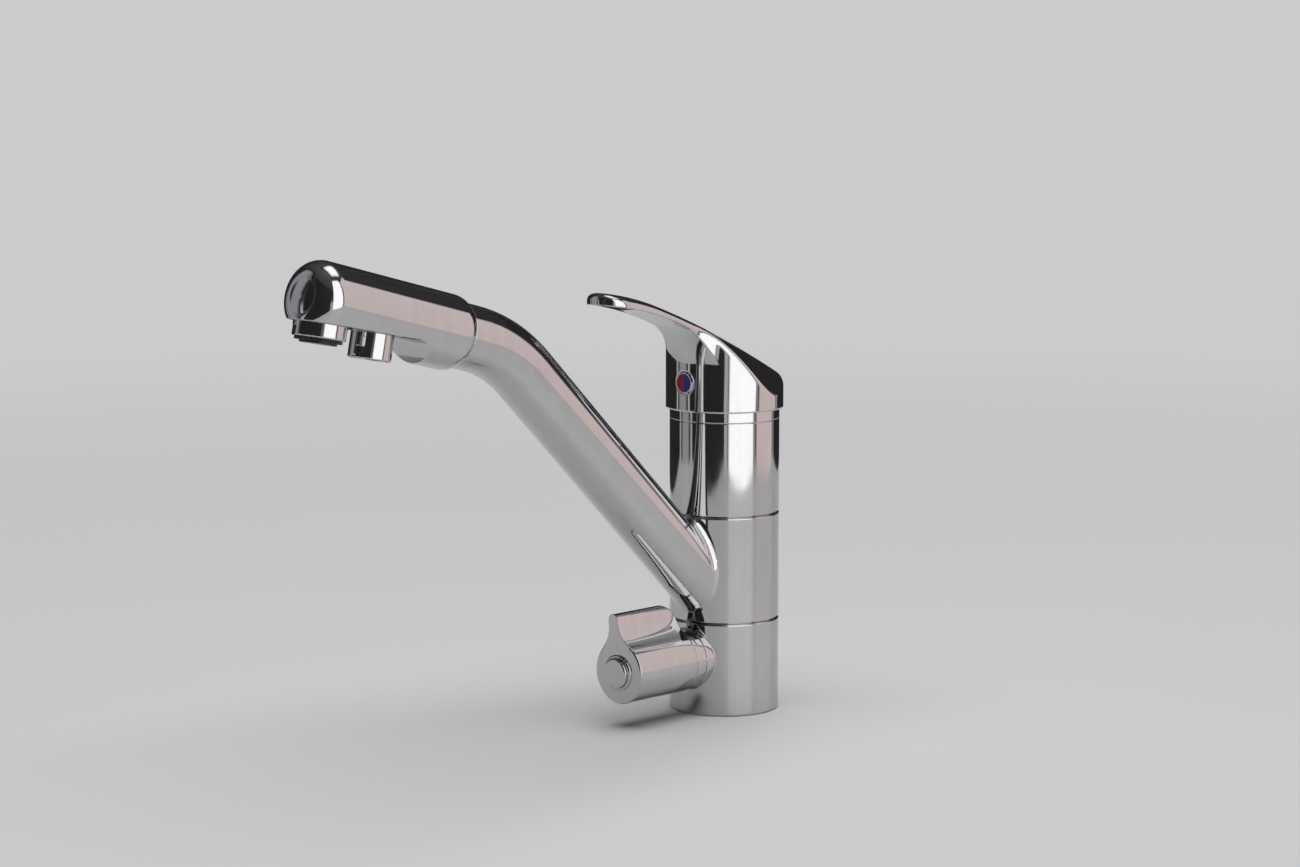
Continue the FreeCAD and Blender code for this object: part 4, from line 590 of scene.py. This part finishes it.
# %% Make the floor's finish
def floor_finish():
    """A matt floor near the tap that goes over into an even glow."""
    material, tree, surface, place = new_finish("studio floor", Specular_IOR_Level=0.0)
    grain = use_group(tree, fine_grain, place, Grain_Size=900.0, Patch_Size=2.5)
    two_tones(tree, grain["Patches"], *FLOOR_TONES, surface["Base Color"])
    join(tree, (spread(tree, grain["Patches"], 0.42, 0.52), surface["Roughness"]))
    raised(tree, surface, grain["Grain"], 0.1, 0.05 * MM)
    glossy = add_node(tree, "ShaderNodeBsdfPrincipled", {"Specular IOR Level": MIRRORED_GLOSS})
    for socket in ("Base Color", "Roughness", "Normal"):
        join(tree, (surface[socket].links[0].from_socket, glossy.inputs[socket]))
    away = add_node(tree, "ShaderNodeVectorMath", operation="LENGTH")
    glow_share = add_node(tree, "ShaderNodeMapRange",
                          {"From Min": GLOW_START, "From Max": GLOW_END},
                          interpolation_type="SMOOTHSTEP")
    ray = add_node(tree, "ShaderNodeLightPath")
    matt_or_glossy = add_node(tree, "ShaderNodeMixShader")
    camera_or_glossy = add_node(tree, "ShaderNodeMath", operation="ADD")
    seen = add_node(tree, "ShaderNodeMath", operation="ADD", use_clamp=True)
    seen_share = add_node(tree, "ShaderNodeMath", operation="MULTIPLY")
    glow = add_node(tree, "ShaderNodeEmission", {"Color": GLOW_TONE})
    blend = add_node(tree, "ShaderNodeMixShader")
    join(
        tree,
        (place, away.inputs[0]),
        (away.outputs["Value"], glow_share.inputs["Value"]),
        (ray.outputs["Is Glossy Ray"], matt_or_glossy.inputs["Fac"]),
        (tree.nodes["Principled BSDF"].outputs["BSDF"], matt_or_glossy.inputs[1]),
        (glossy.outputs["BSDF"], matt_or_glossy.inputs[2]),
        (ray.outputs["Is Camera Ray"], camera_or_glossy.inputs[0]),
        (ray.outputs["Is Glossy Ray"], camera_or_glossy.inputs[1]),
        (camera_or_glossy.outputs["Value"], seen.inputs[0]),
        (ray.outputs["Is Transmission Ray"], seen.inputs[1]),
        (glow_share.outputs["Result"], seen_share.inputs[0]),
        (seen.outputs["Value"], seen_share.inputs[1]),
        (seen_share.outputs["Value"], blend.inputs["Fac"]),
        (matt_or_glossy.outputs["Shader"], blend.inputs[1]),
        (glow.outputs["Emission"], blend.inputs[2]),
        (blend.outputs["Shader"], tree.nodes["Material Output"].inputs["Surface"]),
    )
    return material


# %% Lay the floor
def flat_sheet(name, corners, finish):
    """One four-cornered sheet that belongs to the studio, not to the tap."""
    sheet = new_piece(name, corners, [(0, 1, 2, 3)], finish)
    return sheet


floor_corners = [(x * FLOOR_RADIUS, y * FLOOR_RADIUS, 0.0)
                 for x, y in ((-1, -1), (1, -1), (1, 1), (-1, 1))]
flat_sheet("floor", floor_corners, floor_finish())
print("floor reaches:", FLOOR_RADIUS, "m")

# %% [markdown]
# ## Surroundings and soft panels
# A polished metal needs something to reflect. The world is a plain studio:
# pale at the horizon, like the floor, and dark higher up, which draws the
# black bands along the top of the spout and lever. Tall panels of light stand
# round the tap. The nearest one gives the column and the lever their broad
# white side, a warmer one beside it lights the head and the right edge, and a
# faint one on the left shows beside the spout. A panel high overhead gives
# the head's round end its bright spot. Each panel is a glowing sheet that
# fades towards its edges, because a lamp with a hard edge would draw
# hard-edged patches on the chrome. The sheets are only for reflections.
# A wide lamp overhead lights the floor and keeps the shadow soft.

# %% Make the surroundings
# Each pair is a height, from 0 straight down to 1 straight up, and its tone
SKY_TONES = (
    (0.0, 0.60), (0.51, 0.60), (0.535, 0.42), (0.58, 0.08), (0.75, 0.04), (0.95, 0.10), (1.0, 0.14),
)
world = bpy.data.worlds.new("studio")
bpy.context.scene.world = world
world.use_nodes = True
sky = world.node_tree
direction = add_node(sky, "ShaderNodeTexCoord").outputs["Generated"]
height = add_node(sky, "ShaderNodeSeparateXYZ")
# The direction's height runs from -1 straight down to 1 straight up
share = add_node(sky, "ShaderNodeMapRange", {"From Min": -1.0})
tones = add_node(sky, "ShaderNodeValToRGB")
ramp = tones.color_ramp.elements
while len(ramp) < len(SKY_TONES):
    ramp.new(0.5)
for element, (position, tone) in zip(ramp, SKY_TONES):
    element.position = position
    element.color = (tone, tone, tone, 1.0)
join(
    sky,
    (direction, height.inputs["Vector"]),
    (height.outputs["Z"], share.inputs["Value"]),
    (share.outputs["Result"], tones.inputs["Fac"]),
    (tones.outputs["Color"], sky.nodes["Background"].inputs["Color"]),
)
print("sky tones:", len(ramp))


# %% A place round the tap, and a glow that fades towards its edges
def round_the_tap(azimuth, distance, height):
    """A point on a circle round the column: azimuth 0 is in front, 90 on its right."""
    turn = math.radians(azimuth)
    return Vector((distance * math.sin(turn), -distance * math.cos(turn), height))


def edge_fade(tree, value, soft_share):
    """1 in the middle of a 0 to 1 coordinate, fading to 0 at both ends."""
    from_middle = add_node(tree, "ShaderNodeMath", {1: 0.5}, operation="SUBTRACT")
    either_side = add_node(tree, "ShaderNodeMath", operation="ABSOLUTE")
    fade = add_node(tree, "ShaderNodeMapRange", {"From Min": 0.5, "From Max": 0.5 - soft_share},
                    interpolation_type="SMOOTHSTEP")
    join(
        tree,
        (value, from_middle.inputs[0]),
        (from_middle.outputs["Value"], either_side.inputs[0]),
        (either_side.outputs["Value"], fade.inputs["Value"]),
    )
    return fade.outputs["Result"]


def panel_glow(name, brightness, low_tint, high_tint, soft_width, soft_height):
    """A glow on the front of a sheet that lies in its object's XZ plane."""
    material = bpy.data.materials.new(name)
    material.use_nodes = True
    tree = material.node_tree
    tree.nodes.remove(tree.nodes["Principled BSDF"])
    place = add_node(tree, "ShaderNodeTexCoord").outputs["Generated"]
    axes = add_node(tree, "ShaderNodeSeparateXYZ")
    join(tree, (place, axes.inputs["Vector"]))
    glow = add_node(tree, "ShaderNodeEmission")
    two_tones(tree, axes.outputs["Z"], low_tint, high_tint, glow.inputs["Color"])
    faded = add_node(tree, "ShaderNodeMath", operation="MULTIPLY")
    geometry = add_node(tree, "ShaderNodeNewGeometry")
    front = add_node(tree, "ShaderNodeMath", {0: 1.0}, operation="SUBTRACT")
    on_front = add_node(tree, "ShaderNodeMath", operation="MULTIPLY")
    strength = add_node(tree, "ShaderNodeMath", {1: brightness}, operation="MULTIPLY")
    join(
        tree,
        (edge_fade(tree, axes.outputs["X"], soft_width), faded.inputs[0]),
        (edge_fade(tree, axes.outputs["Z"], soft_height), faded.inputs[1]),
        (geometry.outputs["Backfacing"], front.inputs[1]),
        (faded.outputs["Value"], on_front.inputs[0]),
        (front.outputs["Value"], on_front.inputs[1]),
        (on_front.outputs["Value"], strength.inputs[0]),
        (strength.outputs["Value"], glow.inputs["Strength"]),
        (glow.outputs["Emission"], tree.nodes["Material Output"].inputs["Surface"]),
    )
    return material


# %% A glowing sheet that only reflections see
def only_in_reflections(sheet):
    """Hides a sheet from the camera, and keeps its light and shadow off the scene."""
    sheet.visible_camera = False
    sheet.visible_diffuse = False
    sheet.visible_shadow = False


def glowing_panel(name, centre, aim, size, glow):
    """A glowing sheet at a place, with its front turned towards a point."""
    half_width, half_height = size[0] / 2, size[1] / 2
    corners = [(-half_width, 0, -half_height), (half_width, 0, -half_height),
               (half_width, 0, half_height), (-half_width, 0, half_height)]
    panel = flat_sheet(name, corners, glow)
    panel.location = centre
    panel.rotation_euler = (aim - centre).to_track_quat("-Y", "Z").to_euler()
    only_in_reflections(panel)


# %% Place the upright panels
WHITE = (1.0, 1.0, 1.0)
PINK = (1.0, 0.80, 0.77)
PALE_PINK = (1.0, 0.93, 0.92)
COOL = (0.94, 0.94, 1.0)
# The upright sheets reach below the floor, so that only their top and sides fade
PANEL_FOOT = -0.3
# Name, azimuth, distance, width, top, brightness, tints, soft share of width and height
PANELS = (
    ("near_panel", 78.0, 0.66, 0.74, 1.4, 1.75, (WHITE, WHITE), 0.10, 0.15),
    ("warm_panel", 136.0, 0.70, 0.72, 1.2, 0.9, (PINK, PALE_PINK), 0.14, 0.17),
    ("faint_panel", -46.0, 0.75, 0.36, 0.8, 0.42, (COOL, COOL), 0.30, 0.2),
)
for name, azimuth, distance, width, top, brightness, tints, soft_width, soft_height in PANELS:
    tall = top - PANEL_FOOT
    centre = round_the_tap(azimuth, distance, PANEL_FOOT + tall / 2)
    glow = panel_glow(name, brightness, *tints, soft_width, soft_height)
    glowing_panel(name, centre, Vector((0.0, 0.0, centre.z)), (width, tall), glow)
print("upright panels:", len(PANELS))

# %% Hang the high panel over the head's round end
# It hangs above the end, a little towards the column, and faces the end
HEAD_END = Vector((0.0, -0.22, 0.19))
ABOVE = Vector((0.0, 0.29, 0.957))
HIGH_DISTANCE = 1.1
HIGH_SIZE = 0.95
HIGH_BRIGHTNESS = 1.8
HIGH_SOFT_SHARE = 0.3
high_glow = panel_glow("high_panel", HIGH_BRIGHTNESS, WHITE, WHITE,
                       HIGH_SOFT_SHARE, HIGH_SOFT_SHARE)
glowing_panel("high_panel", HEAD_END + HIGH_DISTANCE * ABOVE, HEAD_END,
              (HIGH_SIZE, HIGH_SIZE), high_glow)

# %% Light the floor from overhead
LAMP_PLACE = (0.3, -0.1, 2.6)
LAMP_SIZE = 3.2
LAMP_POWER = 70.0

lamp = bpy.data.lights.new("overhead lamp", "AREA")
lamp.shape = "SQUARE"
lamp.size = LAMP_SIZE
lamp.energy = LAMP_POWER
overhead = bpy.data.objects.new("overhead lamp", lamp)
overhead.location = LAMP_PLACE
overhead.visible_camera = False
overhead.visible_glossy = False
bpy.context.scene.collection.objects.link(overhead)
print("overhead lamp:", LAMP_POWER, "W")

# %% [markdown]
# ## Dark cards
# On a pale floor, chrome loses its edges, because it reflects the same pale
# tone that it stands in front of. Photographers stand dark cards just outside
# the picture, and the metal draws its own outline with them. These cards are
# seen only in reflections, and they throw no shadow.


# %% Make the cards' finish
CARD_TONES = ((0.02, 0.02, 0.022), (0.035, 0.035, 0.037))


def card_finish():
    """Dull black card with soft patches."""
    material, tree, surface, place = new_finish("dark card")
    grain = use_group(tree, fine_grain, place, Grain_Size=500.0, Patch_Size=6.0)
    two_tones(tree, grain["Patches"], *CARD_TONES, surface["Base Color"])
    join(tree, (spread(tree, grain["Patches"], 0.8, 0.95), surface["Roughness"]))
    return material


# %% Stand the cards round the tap
CARD_DISTANCE = 0.78
CARD_HEIGHT = 0.6
# Name, and the azimuths of the two upright edges
CARDS = (
    ("left_card", -140.0, -64.0),
    ("front_card", -28.0, 42.0),
    ("right_card", 166.0, 215.0),
)
card_material = card_finish()
for name, start, end in CARDS:
    edges = ((start, 0.0), (end, 0.0), (end, CARD_HEIGHT), (start, CARD_HEIGHT))
    corners = [round_the_tap(azimuth, CARD_DISTANCE, height) for azimuth, height in edges]
    only_in_reflections(flat_sheet(name, corners, card_material))
print("dark cards:", len(CARDS))

# %% [markdown]
# ## The camera
# The view looks down a little at the tap from its right front, with a long
# lens, so the column stays upright and the spout reaches to the left. The
# numbers give the camera's place, the way it looks and the lens that put
# every edge of the tap where it stands in the picture.

# %% Place the camera
CAMERA_PLACE = Vector((1.0201, -1.1028, 0.3285))
CAMERA_TURN = math.radians(44.0)
CAMERA_TILT = math.radians(7.9)
LENS = 96.92
SENSOR_WIDTH = 36.0
VIEW_DEPTH = 100.0

camera_data = bpy.data.cameras.new("camera")
camera_data.sensor_width = SENSOR_WIDTH
camera_data.lens = LENS
camera_data.clip_end = VIEW_DEPTH
camera = bpy.data.objects.new("camera", camera_data)
camera.location = CAMERA_PLACE
gaze = Vector((
    -math.sin(CAMERA_TURN) * math.cos(CAMERA_TILT),
    math.cos(CAMERA_TURN) * math.cos(CAMERA_TILT),
    -math.sin(CAMERA_TILT),
))
camera.rotation_euler = gaze.to_track_quat("-Z", "Y").to_euler()
bpy.context.scene.collection.objects.link(camera)
bpy.context.scene.camera = camera
bpy.context.scene.view_settings.view_transform = "Standard"
print("camera lens:", LENS, "mm")
